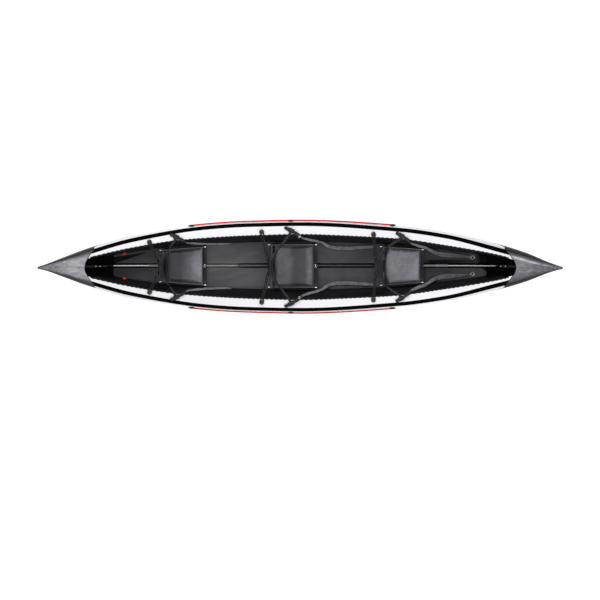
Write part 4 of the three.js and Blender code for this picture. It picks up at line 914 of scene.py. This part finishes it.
for name, side in SIDES:
    path = [rope_point(side, x, ROPE_LIFT) for x in spread(ROPE_X[0], ROPE_X[2], 260)]
    rings = []
    run = 0.0
    for i, (_, across, up) in enumerate(frames_along(path)):
        run += (path[i] - path[i - 1]).length if i else 0
        rings.append(rope_ring(path[i], across, up, run))
    rope = dress(loft(f"rope_{name}", rings, ROPE_MAT), "rope", f"deck_line_{name}")
    ends = []
    for x, outward in ((ROPE_X[0], -1), (ROPE_X[2], 1)):
        tip = [rope_point(side, x + outward * t, ROPE_LIFT) for t in spread(0.014, 0.036, 6)]
        ends.append(tube("ferrule", tip, lambda t: 0.0085 - 0.003 * t, BLACK_MAT, sides=14))
    ferrules = dress(merge(f"rope_ends_{name}", ends), "rope")


# ---- Elastic cords: from the back of each backrest round a knob on the deck and back again
def back_frame(k):
    return Matrix.Translation((HINGES[k], 0, RAIL_Z)) @ Matrix.Rotation(-TILTS[k], 4, "Y")


KNOB_PLACES = [-0.5755, -0.1467, 0.2808]
ELASTIC_R = 0.0056
BACK_HOLD = (-0.021, 0.235)
# Along each strand: the share of the way to the knob, the strands' half distance and the rise
STRAND = ((0.02, 0.0064, 0), (0.14, 0.0066, 0.001), (0.3, 0.0082, 0.004), (0.62, 0.0088, 0.004))
for k in range(3):
    matrix = back_frame(k)
    body = f"backrest_{k + 1}"
    for name, side in SIDES:
        foot, out = on_deck(side, KNOB_PLACES[k], 0.68)
        end = matrix @ Vector((BACK_HOLD[0], side * 0.048, BACK_HOLD[1]))
        neck = foot + out * 0.0083
        flat = end - neck
        flat = (flat - out * flat.dot(out)).normalized()
        cross = out.cross(flat)
        half = [(end.lerp(neck, share) + Vector((0, 0, rise)), apart) for share, apart, rise in STRAND]
        half.append((neck + flat * 0.045, 0.0104))
        route = [spot - cross * apart for spot, apart in half]
        route += [neck + flat * 0.005 - cross * 0.0168, neck - flat * 0.0138, neck + flat * 0.005 + cross * 0.0168]
        route += [spot + cross * apart for spot, apart in half[::-1]]
        path = smooth_path(route, 150)
        elastic = loft(f"elastic_{name}_{k + 1}", tube_rings(path, ELASTIC_R, 10), ELASTIC_MAT, None)
        along = (neck - end).normalized()
        lock_at = end.lerp(neck, 0.13)
        lock = tube(f"cord_lock_{name}_{k + 1}", [lock_at + along * t for t in spread(-0.015, 0.015, 10)],
                    lambda t: 0.0125 + 0.003 * math.sin(math.pi * t), KNOB_MAT, None, sides=16)
        for piece in (elastic, lock):
            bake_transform(piece)
        dress(elastic, "elastic", *([f"back_cord_{k + 1}"] if name == "port" else []))
        dress(lock, "moulded")
    loop = [matrix @ Vector((BACK_HOLD[0], y, BACK_HOLD[1] + dz))
            for y, dz in ((0.047, 0), (0.03, 0.003), (0, 0.004), (-0.03, 0.003), (-0.047, 0))]
    dress(tube(f"elastic_back_{k + 1}", loop, 0.0042, ELASTIC_MAT, body, steps=30, sides=10), "elastic")

# ---- Hull skin
STEM_STATIONS = [-1, -0.996, -0.99, -0.986, -0.982, -0.978, -0.972, -0.966, -0.957, -0.946, -0.932, -0.915, -0.895,
                 -0.87, -0.84]
HULL_STATIONS = STEM_STATIONS + [-0.82, -0.803, -0.7925, BAND_END[-1], PANEL_END[-1] - 1e-3, PANEL_END[-1]] \
    + spread(-0.77, 0.766, 110) + [PANEL_END[1], PANEL_END[1] + 1e-3, BAND_END[1], 0.7885, 0.803, 0.82] \
    + [-at for at in STEM_STATIONS[::-1]]


def skin_row(side, at, lift):
    row = []
    for place in [-1, -0.75, -0.5, -0.25] + [share * skin_top(at) for share in spread(0, 1, 16)]:
        y, z = moved(side_at, at, place, lift)
        ripple = wobble(at * HALF_LENGTH * 6.0 * 0.45, z * 6.0, side)
        row.append(Vector((at * HALF_LENGTH, side * max(y + ripple * min(max(place, 0), 1) * 0.0015, 0.0), z)))
    row[0].y = 0
    return row


def hull_row(at, lift):
    return skin_row(1, at, lift)[::-1] + skin_row(-1, at, lift)[1:]


hull = shell("hull_fabric", HULL_STATIONS, hull_row, 0.0, -SKIN, [SKIN_MAT, INSIDE_MAT], 50)
columns = len(hull_row(0, 0.0))
for polygon in hull.data.polygons:
    if all(index % (2 * columns) >= columns for index in polygon.vertices):
        polygon.material_index = 1
dress(hull, "skin", "hull_skin")
cloth_sheet(hull)

# Piping along both stems and the thin weld seams below the panels' ends: (place, height)
SEAMS = {-1: [(-0.752, 0.297), (-0.73, 0.262), (-0.70, 0.222), (-0.66, 0.178), (-0.62, 0.148)],
         1: [(0.763, 0.322), (0.745, 0.282), (0.722, 0.238), (0.695, 0.205), (0.66, 0.185)]}
for label, end in TIPS:
    stem = [at for at in HULL_STATIONS if at * end >= 0.80][::end]
    path = [Vector((at * HALF_LENGTH + end * 0.001, 0, section(at).keel - 0.0005)) for at in stem]
    dress(tube(f"stem_piping_{label}", path, 0.0032, PIPING_MAT, sides=8), "skin")
for label, end in TIPS:
    for name, side in SIDES:
        path = [lifted(side_at, side, at, at_height(at, min(z, section(at).sheer - 0.03)), 0.0004)
                for at, z in SEAMS[end]]
        dress(tube(f"weld_seam_{label}_{name}", path, lambda t: 0.0013 * (1 - 0.6 * t), SEAM_MAT, steps=24, sides=6),
              "skin")

# ---- White side panels with their weld strips, and the sheer bands
PANEL_STATIONS = [PANEL_END[-1]] + spread(-0.775, 0.771, 120) + [PANEL_END[1]]
BAND_STATIONS = [BAND_END[-1]] + spread(-0.785, 0.781, 120) + [BAND_END[1]]


def panel_span(at):
    return skin_top(at) + 0.002, band_low(at) - 0.001


for name, side in SIDES:
    def panel_row(at, lift):
        return lifted_row(side_at, side, at, lift, *panel_span(at), 16)

    def strip_row(at, layer):
        lift, along_low_edge, width = layer
        low, high = panel_span(at)
        reach = min(width / max(0.16 * (high - low), 0.004), 0.45) * (high - low)
        ends = (low, low + reach) if along_low_edge else (high - reach, high)
        return lifted_row(side_at, side, at, lift, *ends, 4)

    def band_row(at, layer):
        lift, side_end, deck_start = layer
        return lifted_row(side_at, side, at, lift, band_low(at), side_end, 5) \
            + lifted_row(deck_at, side, at, lift, deck_start, band_deck(at), 5)

    panel = dress(shell(f"panel_fabric_{name}", PANEL_STATIONS, panel_row, 0.0, -0.0028, PANEL_MAT), "panel")
    cloth_sheet(panel)
    strips = [shell("strip", PANEL_STATIONS[2:-2], strip_row, (0.0011, *kind), (-0.0002, *kind), STRIP_MAT)
              for kind in ((True, 0.012), (False, 0.010))]
    dress(merge(f"weld_strips_{name}", strips), "panel")
    band = shell(f"band_fabric_{name}", BAND_STATIONS, band_row, (0.0006, 1.995, 0.02), (-0.0026, 1.97, 0.05), BAND_MAT)
    dress(band, "band", f"sheer_band_{name}")
    cloth_sheet(band)

# Welded patches and the eyes of the deck lines
for name, side in SIDES:
    pieces = []
    for x in ROPE_X:
        foot = rope_point(side, x, 0)
        out = (rope_point(side, x, 0.01) - foot).normalized()
        matrix = basis(foot, out, rope_point(side, x + 0.02, 0) - foot)
        pieces.append(disc_mesh("patch", matrix, 0.029, 0.0004, 0.003, PATCH_MAT, sides=40))
        rings = []
        for t in spread(-1, 1, 12):
            radius = 0.015 * (1 - 0.12 * t * t)
            rings.append([matrix @ Vector((t * 0.017, radius * math.cos(a), 0.003 + radius * math.sin(a)))
                          for a in spread(0, math.pi, 16)])
        pieces.append(loft("eye", rings, PATCH_MAT, sharp=50))
    dress(merge(f"rope_eyes_{name}", pieces), "panel", f"side_panel_{name}")


# ---- Side decks
def deck_end(at, place):
    """The decks' ends follow the hollow edges of the covers."""
    for _, end in TIPS:
        if abs(at - BAND_END[end]) < 1e-9:
            s = section(at)
            across = lerp(s.edge, s.coaming, place) / s.edge
            return at + (OPENING[end] - BAND_END[end] - end * 0.002) * (1 - across * across)
    return at


for name, side in SIDES:
    def deck_row(at, lift):
        row = []
        for place in spread(band_deck(at) + 0.004, 1.0, 10):
            here = deck_end(at, place)
            swell = 0.0008 * wobble(here * 9, place * 2, side)
            row.append(lifted(deck_at, side, here, place, swell if lift is None else lift))
        return row

    stations = [BAND_END[-1]] + spread(-0.78, 0.776, 120) + [BAND_END[1]]
    deck = shell(f"deck_fabric_{name}", stations, deck_row, None, -0.0028, DECK_MAT)
    dress(deck, "panel", f"side_deck_{name}")
    cloth_sheet(deck)

# ---- Cockpit walls: black fabric, gathered under a scalloped hem
GATHER_PITCH = 0.046
CHAMBER_DEPTH = -0.007


def wall_folds(side, at, place):
    """How far the wall is drawn into the chamber: gathers near the top, long soft folds below."""
    x = at * HALF_LENGTH
    gather = 0.5 + 0.5 * math.sin(x * 2 * math.pi / GATHER_PITCH + 2.0 * wobble(x * 3, side, 0))
    top = max(0.0, 1 - place / 0.45) ** 1.2
    long_fold = 0.5 + 0.5 * wobble(x * 2.2, place * 5.0, side * 3.0)
    cross = 0.5 + 0.5 * wobble(x * 11, place * 3.0, side * 5.0)
    folds = 0.0045 * gather * top + 0.004 * long_fold * (1 - top) * min(1, (1 - place) * 6)
    return -(folds + 0.003 * cross * (1 - place))


def wall_ring(side, at):
    s = section(at)
    ring = [lifted(wall_at, side, at, place, wall_folds(side, at, place) * min(1, place * 12 + 0.3))
            for place in spread(0, 1, 22)]
    ring.append(point(side, at, (s.floor, s.mat_z - 0.012)))
    for y, z in (moved(side_at, at, place, CHAMBER_DEPTH) for place in spread(0.15, 1.9, 8)):
        ring.append(point(side, at, (max(y, s.floor), z)))
    return ring + lifted_row(deck_at, side, at, CHAMBER_DEPTH, 0.15, 0.92, 5)


def hem_row(side, at, upper):
    x = at * HALF_LENGTH
    scallop = abs(math.sin(x * math.pi / GATHER_PITCH + wobble(x * 4, side * 2, 1.5) * 1.5))
    s = section(at)
    outward = (0.007 + 0.0055 * scallop) / max(s.edge - s.coaming, 0.03)
    row = []
    for share in spread(0, 1, 4):
        arch = 0.0005 + (0.0012 + 0.0016 * scallop) * math.sin(math.pi * min(share + 0.15, 1))
        row.append(lifted(deck_at, side, at, 1 - outward * (1 - share), arch if upper else -0.0001))
    y, z = deck_at(at, 1.0)
    edge = [(-0.003 - 0.001 * scallop, -0.002), (-0.0025, -0.010)] if upper else [(-0.0012, -0.003), (-0.0005, -0.010)]
    return row + [point(side, at, (y + dy, z + dz)) for dy, dz in edge]


for name, side in SIDES:
    stations = spread(PANEL_END[-1] + 0.001, PANEL_END[1] - 0.001, 360)
    wall = loft(f"cockpit_wall_{name}", [wall_ring(side, at) for at in stations], WALL_MAT, sharp=70)
    dress(wall, "chamber", f"air_chamber_{name}")
    hem = shell(f"gathered_hem_{name}", spread(-0.80, 0.796, 720), lambda at, upper: hem_row(side, at, upper), True,
                False, HEM_MAT, 80)
    dress(hem, "chamber")

# ---- Covers over both tips
HEM_REACH = {-1: 0.0072, 1: 0.001}


def cover_point(end, t, across, lift):
    """t runs from the hollow edge to the tip, across from starboard to port."""
    at = lerp(OPENING[end] - end * (SWEEP + HEM_REACH[end]), end * 0.9995, t)
    at += end * SWEEP * (1 - across * across) * (1 - t) ** 3
    s = section(max(-1, min(1, at)))
    crown = CROWN[end] * s.edge * (1 - across * across)
    pucker = wobble(at * 34, across * 2.5, end * 3.0) * 0.0055 * (1 - across ** 4)
    fold = wobble(at * 12, across * 6.0 + 5, end) * 0.005 * (1 - across ** 4) * (1 - t)
    return Vector((at * HALF_LENGTH, across * (s.edge + 0.0006), s.sheer + GAP + SKIN + crown + pucker + fold + lift))


for label, end in TIPS:
    cover = shell(f"cover_fabric_{label}", spread(0, 1, 56),
                  lambda t, lift: [cover_point(end, t, across, lift) for across in spread(-1, 1, 28)],
                  0.0, -0.003, COVER_MAT, 60)
    dress(cover, "cover", f"{label}_cover")
    cloth_sheet(cover)
    paths = [[cover_point(end, 0, across, 0.0) for across in spread(-1, 1, 40)]]
    paths += [[cover_point(end, t, across, -0.001) for t in spread(0, 1, 50)] for across in (1, -1)]
    hems = [tube("hem", path, 0.0024, PIPING_MAT, sides=8) for path in paths]
    dress(merge(f"cover_piping_{label}", hems), "cover")

# ---- Floor mats
MAT_CORNER = 0.014


def mat_underside(at, y):
    """The height of the skin's inner face under a mat."""
    s = section(at)
    if y <= s.flat * 0.97:
        return s.keel + SKIN + GAP
    place = 0.02
    while place < 1 and moved(side_at, at, place, -SKIN - GAP)[0] < y:
        place += 0.01
    return moved(side_at, at, place, -SKIN - GAP)[1]


def mat_ring(side, at):
    s = section(at)
    near = min(MAT_CORNER, (MAT_END - abs(at)) * HALF_LENGTH)
    corner = MAT_CORNER - math.sqrt(max(MAT_CORNER ** 2 - (MAT_CORNER - near) ** 2, 0))
    closer = min(max(0.35 - abs(at * HALF_LENGTH + 0.95), 0), 0.05) / 0.05
    inner, outer = CHANNEL + 0.0006 - 0.005 * closer, s.floor - 0.0018 - corner
    ring = []
    for share in spread(0, 1, 14):
        y = lerp(inner, outer, share)
        rounding = 0.004 * (max(0, 1 - share / 0.02) ** 2 + max(0, 1 - (1 - share) / 0.02) ** 2)
        dip = 0.0012 * wobble(at * 16, y * 9, side) + 0.0008 * math.sin(share * math.pi)
        ring.append(point(side, at, (y, s.mat_z - 0.0012 - rounding + dip)))
    for share in spread(1, 0, 10):
        y = lerp(inner, outer, share)
        ring.append(point(side, at, (y, min(mat_underside(at, y) + 0.0006, s.mat_z - 0.006))))
    return ring


for name, side in SIDES:
    rings = [mat_ring(side, at) for at in spread(-MAT_END + 0.0005, MAT_END - 0.0005, 200)]
    dress(loft(f"mat_foam_{name}", rings, MAT_MAT, sharp=50), "mat", f"floor_mat_{name}")

# ---- Rigid pieces that keep their CAD form, with softened edges
for k in (1, 2, 3):
    for which in ("rear", "front"):
        fresh_copy(f"rib_{which}_{k}", f"rib_{which}_moulding_{k}", BLACK_MAT, "moulded", 0.0018)
    fresh_copy(f"seat_frame_{k}", f"seat_tubes_{k}", RAIL_MAT, "tube", sharp=45)
    for name, _ in SIDES:
        fresh_copy(f"deck_knob_{name}_{k}", f"knob_moulding_{name}_{k}", KNOB_MAT, "moulded", 0.0012, 50)
for label, _ in TIPS:
    fresh_copy(f"{label}_board", f"{label}_board_moulding", BLACK_MAT, "moulded", 0.0015)
for name, _ in SIDES:
    fresh_copy(f"valve_cap_{name}", f"cap_moulding_{name}", CAP_MAT, "cap", 0.0012, body=f"valve_cap_{name}")
for label, *look in (("stern", -3, 3, 245, 46, 0.8, False), ("aft", -1.57, -1.43, 188, 104, 0.2, True),
                     ("middle", 1.17, 1.54, 188, 46, 0.2, True), ("bow", -3, 3, 222, 46, 0.8, False)):
    fresh_copy(f"keel_tube_{label}", f"keel_tubing_{label}", keel_material(label, *look), "tube", sharp=45)


# ---- Soft goods: pads and backrests, puffed by a short cloth run
PUFF_VOXEL = 0.005
PUFF_PRESSURE = 4.0
PUFF_FRAMES = 20


def puffed(obj, cap):
    """Fills a pad with air for some frames and caps how far any point may move."""
    scene = bpy.context.scene
    remesh = obj.modifiers.new("remesh", "REMESH")
    remesh.mode = "VOXEL"
    remesh.voxel_size = PUFF_VOXEL
    apply_modifiers(obj)
    count = len(obj.data.vertices)
    start, end = np.empty(count * 3), np.empty(count * 3)
    obj.data.vertices.foreach_get("co", start)
    cloth = obj.modifiers.new("cloth", "CLOTH")
    cloth.settings.use_pressure = True
    cloth.settings.uniform_pressure_force = PUFF_PRESSURE
    cloth.settings.effector_weights.gravity = 0
    cloth.settings.quality = 4
    for number in range(1, PUFF_FRAMES + 1):
        scene.frame_set(number)
    deps = bpy.context.evaluated_depsgraph_get()
    obj.evaluated_get(deps).to_mesh().vertices.foreach_get("co", end)
    obj.evaluated_get(deps).to_mesh_clear()
    obj.modifiers.clear()
    scene.frame_set(1)
    step = (end - start).reshape(-1, 3)
    size = np.linalg.norm(step, axis=1, keepdims=True)
    step *= np.minimum(1, cap / np.maximum(size, 1e-9))
    obj.data.vertices.foreach_set("co", (start.reshape(-1, 3) + step).ravel())
    obj.data.update()
    obj.modifiers.new("smooth", "SUBSURF").levels = 1
    apply_modifiers(obj)
    shade_smooth(obj.data)


RAIL_SHARE = 0.89
UNPUFFED = 0.75


def rail_y(k, x):
    half = [RAIL_SHARE * section(end / HALF_LENGTH).floor for end in (RAIL_REARS[k], RAIL_FRONTS[k])]
    return lerp(half[0], half[1], (x - RAIL_REARS[k]) / (RAIL_FRONTS[k] - RAIL_REARS[k]))


def pad_point(k, u, v, share, thin=1.0):
    """u runs from the rear to the front, v from starboard to port, share is -0.5 below and 0.5 on top."""
    rear, front = HINGES[k] + PAD_SETBACK[k], FRONT_RIBS[k] - RIB_HALF - 0.004
    pulled = 0.006 * (1 - abs(2 * u - 1) ** 3)
    x = lerp(rear + PAD_ROUND[k] * abs(v) ** 2.6, front, u)
    half = rail_y(k, x) - RAIL_R - GAP - 0.001 - pulled
    thickness = 0.006 + 0.019 * math.sqrt(max(0, (1 - abs(2 * u - 1) ** 4) * (1 - v ** 4)))
    channel = 0.003 * sum(math.exp(-((u - c) / 0.012) ** 2) for c in PAD_CHANNELS[k])
    z = RAIL_Z - 0.010 * (1 - v * v) + share * (thickness * thin)
    return Vector((x, v * half, z - (channel if share > 0 else 0)))


for k in range(3):
    rings = [[pad_point(k, u, v, half, UNPUFFED) for half in (0.5, -0.5) for v in spread(-2 * half, 2 * half, 26)[::-1]]
             for u in spread(0, 1, 30)]
    pad = loft(f"pad_{k + 1}", rings, PAD_MATS[k], sharp=60)
    puffed(pad, 0.006)
    dress(pad, "pad", f"seat_pad_{k + 1}")
    up, down = spread(0, 1, 30), spread(1, 0, 30)
    corners = [(u, 1) for u in up] + [(1, 2 * v - 1) for v in down[1:]] + [(u, -1) for u in down[1:]] \
        + [(0, 2 * v - 1) for v in up[1:]]
    edge = [pad_point(k, u, v, 0) for u, v in corners]
    rings = [round_ring(centre, across, up, 0.0026, 8) for centre, (_, across, up) in zip(edge, frames_along(edge))]
    dress(loft(f"pad_piping_{k + 1}", rings, PAD_EDGE_MAT), "pad")
    seams = []
    for u in PAD_CHANNELS[k]:
        path = [pad_point(k, u, v, 0.5) + Vector((0, 0, 0.0004)) for v in spread(-0.94, 0.94, 40)]
        seams.append(tube("pad_seam", path, 0.0011, THREAD_MAT, sides=6))
    dress(merge(f"pad_seams_{k + 1}", seams), "pad")


# ---- Backrests
def back_outline(y):
    """The upper and lower edge, how far forward the band bends, and its thickness."""
    out = abs(y) / ARM_Y
    top, bottom = lerp(0.338, 0.264, out ** 2.2), lerp(0.070, 0.222, out ** 1.6)
    return top, bottom, 0.090 * out * out, lerp(0.034, 0.009, out ** 1.5)


def back_point(k, y, up, out, fat=1.0):
    """up runs from the lower to the upper edge, out is -1 on the rear face and 1 on the front face."""
    top, bottom, forward, thickness = back_outline(y)
    crown = math.sqrt(max(0.0, 1 - abs(2 * up - 1) ** 3))
    quilt = 0.0022 * math.exp(-((up - 0.5) / 0.05) ** 2) if abs(y) < 0.15 and out > 0 else 0
    half = thickness / 2 * fat * crown
    return back_frame(k) @ Vector((forward + out * (half - quilt), y, lerp(bottom, top, up)))


BACK_HALF = 0.181
TRIM_HALF = 0.1805
SLEEVE_HALF = 0.060
SLEEVE_R = 0.0126
SLEEVE_BORE = 0.0087
PLEAT = 0.012
for k in range(3):
    body = f"backrest_{k + 1}"
    rings = []
    for y in spread(-BACK_HALF, BACK_HALF, 44):
        front = [back_point(k, y, up, 1, UNPUFFED) for up in spread(0, 1, 22)]
        rings.append(front + [back_point(k, y, up, -1, UNPUFFED) for up in spread(1, 0, 22)][1:-1])
    back = loft(f"back_pad_{k + 1}", rings, BACK_MAT, body, sharp=70)
    puffed(back, 0.010)
    dress(back, "backing", f"backrest_{k + 1}")
    paths = [[back_point(k, y, up, 0) for y in spread(-TRIM_HALF, TRIM_HALF, 60)] for up in (0, 1)]
    paths += [[back_point(k, y, up, 0) for up in spread(0, 1, 10)] for y in (-TRIM_HALF, TRIM_HALF)]
    pieces = [tube("back_piping", path, 0.0032, PIPING_MAT, body, sides=8) for path in paths]
    dress(merge(f"back_trim_{k + 1}", pieces, body), "backing")

    # The sleeve round the hinge bar and the tongue that joins it to the pad
    rounds = [(y, SLEEVE_R + 0.0006 * math.sin(y * 2 * math.pi / PLEAT)) for y in spread(-SLEEVE_HALF, SLEEVE_HALF, 30)]
    rounds += [(y, SLEEVE_BORE) for y in spread(SLEEVE_HALF, -SLEEVE_HALF, 2)]
    rings = [[back_frame(k) @ Vector((radius * math.sin(a), y, radius * math.cos(a))) for a in turn(20)]
             for y, radius in rounds]
    dress(loft(f"back_sleeve_{k + 1}", rings, SLEEVE_MAT, body, sharp=50, closed=True), "backing")
    rings = []
    for z in spread(0.0115, 0.088, 14):
        thick = 0.0035 + 0.0005 * math.sin(z * 400)
        rings.append([back_frame(k) @ Vector((face * thick, y, z)) for face in (1, -1)
                      for y in spread(-face * SLEEVE_HALF, face * SLEEVE_HALF, 12)])
    dress(loft(f"back_tongue_{k + 1}", rings, SLEEVE_MAT, body), "backing")


# ---- Webbing, its buckles and rings
def route_stops(k):
    """The webbing's stops: 0 is the hinge, 1 the front of the rails, 2 the next seat. Most spans get a middle stop."""
    beyond = RAIL_REARS[k + 1] if k < 2 else 0.72 * HALF_LENGTH
    stops = [(between((HINGES[k], RAIL_FRONTS[k], beyond), along) / HALF_LENGTH, *rest) for along, *rest in ROUTES[k]]
    out = stops[:1]
    for stop, following in zip(stops, stops[1:]):
        if not stop[1] < 2 < following[1]:
            out.append(tuple(lerp(a, b, 0.5) for a, b in zip(stop, following)))
        out.append(following)
    return out


BUCKLE_BARS = [(-0.028, -0.021, -0.023, 0.023, 0.006), (0.021, 0.028, -0.023, 0.023, 0.006),
               (-0.0035, 0.0035, -0.018, 0.018, 0.006), (-0.024, 0.024, -0.023, -0.016, 0.0062),
               (-0.024, 0.024, 0.016, 0.023, 0.0062)]
BUCKLE_HEIGHT = 0.010
TAIL_WIDTH = 0.036
SLIDE_RING = (0.015, 0.0036)
END_RING = (0.018, 0.0042)
SLIDE_X = -0.005
buckle_places = {}
for k in range(3):
    for name, side in SIDES:
        stops = route_stops(k)
        centres, outs = [], []
        for at, place, lift, _ in stops:
            out = (inside_point(side, at, place, 0.01) - inside_point(side, at, place, 0)).normalized()
            skyward = min(max(place - 1.1, 0), max(2.3 - place, 0), 0.35) / 0.35
            skyward *= 0.2 if len(outs) == len(stops) - 1 else 1
            centres.append(inside_point(side, at, place, lift * WEBBING_LIFT) + out * (0.009 * skyward))
            outs.append((out + Vector((0, 0, 0.6 * skyward))).normalized())
        steps = 30 * (len(stops) - 1)
        path = smooth_path(centres, steps)
        marks = [i / steps * (len(stops) - 1) for i in range(steps + 1)]
        out_path = [between(outs, u) for u in marks]
        for _ in range(8):
            out_path = [(out_path[max(i - 1, 0)] + out_path[i] + out_path[min(i + 1, steps)]) / 3
                        for i in range(steps + 1)]
        widths = [between([stop[3] for stop in stops], u) * WEBBING for u in marks]
        strap = strap_mesh(f"webbing_{name}_{k + 1}", path, out_path, widths, 0.0024, WEB_MAT, wave=0.0012)
        dress(strap, "webbing", f"deck_strap_{name}_{k + 1}")

        foot, out = on_deck(side, stops[2][0], stops[2][1])
        matrix = basis(foot + out * GAP, out, centres[4] - centres[0])
        parts = [bar(*sizes, BUCKLE_HEIGHT, matrix, BLACK_MAT) for sizes in BUCKLE_BARS]
        parts.append(disc_mesh("post", matrix, 0.014, 0.0002, 0.008, BLACK_MAT))
        dress(merge(f"buckle_{name}_{k + 1}", parts), "moulded")
        ahead = (matrix.to_3x3() @ Vector((1, 0, 0))).normalized()
        tail = [foot + out * (0.004 + 0.012 * t) + ahead * (-0.012 - 0.052 * t) for t in spread(0, 1, 10)]
        strap = strap_mesh(f"webbing_tail_{name}_{k + 1}", tail, [out] * 11, [TAIL_WIDTH] * 11, 0.0022, DECK_WEB_MAT)
        dress(strap, "webbing")
        buckle_places[(k, side)] = (foot, out, ahead)
        if k == 1:
            spot = min(range(len(path)), key=lambda i: abs(path[i].x - SLIDE_X))
            normal = out_path[spot].normalized()
            matrix = basis(path[spot] + normal * 0.0035, normal, path[spot + 1] - path[spot])
            dress(ring_mesh(f"webbing_slide_{name}", matrix, *SLIDE_RING, STEEL_MAT), "moulded")
        if k == 2:
            beyond = (path[-1] - path[-3]).normalized()
            matrix = basis(path[-1] + beyond * (END_RING[0] - 0.001), out_path[-1].normalized(), beyond)
            dress(ring_mesh(f"end_ring_{name}", matrix, *END_RING, STEEL_MAT), "moulded")

# Straps from the backrests' arms to the buckles
STRAP_STEPS = 60
STRAP_TWIST = 32
STRAP_WIDTH = 0.026
for k in range(3):
    matrix = back_frame(k)
    top, bottom, forward, _ = back_outline(ARM_Y)
    for name, side in SIDES:
        foot, out, ahead = buckle_places[(k, side)]
        start, lead = (matrix @ Vector((forward + dx, side * y, (top + bottom) / 2))
                       for dx, y in ((0, 0.180), (0.004, 0.195)))
        inward = Vector((0, -side, 0))
        inward = (inward - out * inward.dot(out)).normalized()
        end, hook = (foot + out * 0.0103 + inward * a - ahead * b for a, b in ((0.035, 0.014), (0.012, 0.010)))
        sags = [lead.lerp(end, share) - Vector((0, 0, sag)) for share, sag in ((0.35, 0.003), (0.7, 0.002))]
        path = smooth_path([start, lead, *sags, end, hook], STRAP_STEPS)
        upright = (matrix.to_3x3() @ Vector((0, 0, 1))).normalized()
        outs = []
        for i in range(len(path)):
            across = upright.lerp(ahead, min(1, i / STRAP_TWIST))
            outs.append(across.cross(direction(path, i)).normalized())
        widths = [STRAP_WIDTH] * len(path)
        strap = strap_mesh(f"arm_strap_{name}_{k + 1}", path, outs, widths, 0.0034, BACK_WEB_MAT, None)
        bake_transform(strap)
        dress(strap, "webbing", f"back_strap_{name}_{k + 1}")

# ---- Valve flanges, stem bolts, rail ends and rib clips
VALVE_FOOT = (-0.677 * HALF_LENGTH, 0.140744, 0.14369)
VALVE_OUT = (0.1785, -0.9803, 0.0848)
BOLTS = (-2.100, -2.060, 2.068, 2.115)
BOARD_SPANS = {-1: (-0.742, -0.936), 1: (0.778, 0.936)}
for name, side in SIDES:
    foot, normal = (Vector((x, side * y, z)) for x, y, z in (VALVE_FOOT, VALVE_OUT))
    matrix = basis(foot, normal.normalized(), Vector((1, 0, 0)))
    dress(disc_mesh(f"valve_flange_{name}", matrix, 0.026, -0.001, 0.006, BLACK_MAT, sides=36), "chamber")

heads = []
for x in BOLTS:
    inner, outer = BOARD_SPANS[1 if x > 0 else -1]
    s = section(x / HALF_LENGTH)
    t = (x / HALF_LENGTH - inner) / (outer - inner)
    top = lerp(s.keel + 0.120, s.sheer - SKIN, math.sin(t * math.pi / 2) ** 2)
    heads.append(disc_mesh("bolt", Matrix.Translation((x, 0.0, top)), 0.0085, 0.0, 0.004, STEEL_MAT, dome=0.002))
dress(merge("stem_bolts", heads), "tube")

caps = []
for k in range(3):
    for x, outward in ((RAIL_REARS[k], -1), (RAIL_FRONTS[k], 1)):
        for _, side in SIDES:
            path = [Vector((x + outward * t, side * rail_y(k, x), RAIL_Z)) for t in (-0.012, -0.004, 0.002)]
            caps.append(tube("rail_end", path, 0.0092, STEEL_MAT, sides=18))
dress(merge("rail_ends", caps), "tube")

clips = []
CLIP_Z = RAIL_Z - 0.028
for x in FRONT_RIBS[:2]:
    for y in (-0.011, 0.011):
        leg = [Vector((x + dx, y, CLIP_Z + dz)) for dx, dz in ((-0.014, 0.002), (0, 0.0045), (0.014, 0.002))]
        clips.append(tube("clip_leg", leg, 0.0022, STEEL_MAT, steps=10, sides=10))
    cross = [Vector((x, y, CLIP_Z + 0.0045)) for y in (-0.012, 0.012)]
    clips.append(tube("clip_cross", cross, 0.0024, STEEL_MAT, sides=10))
dress(merge("rib_clips", clips), "tube")
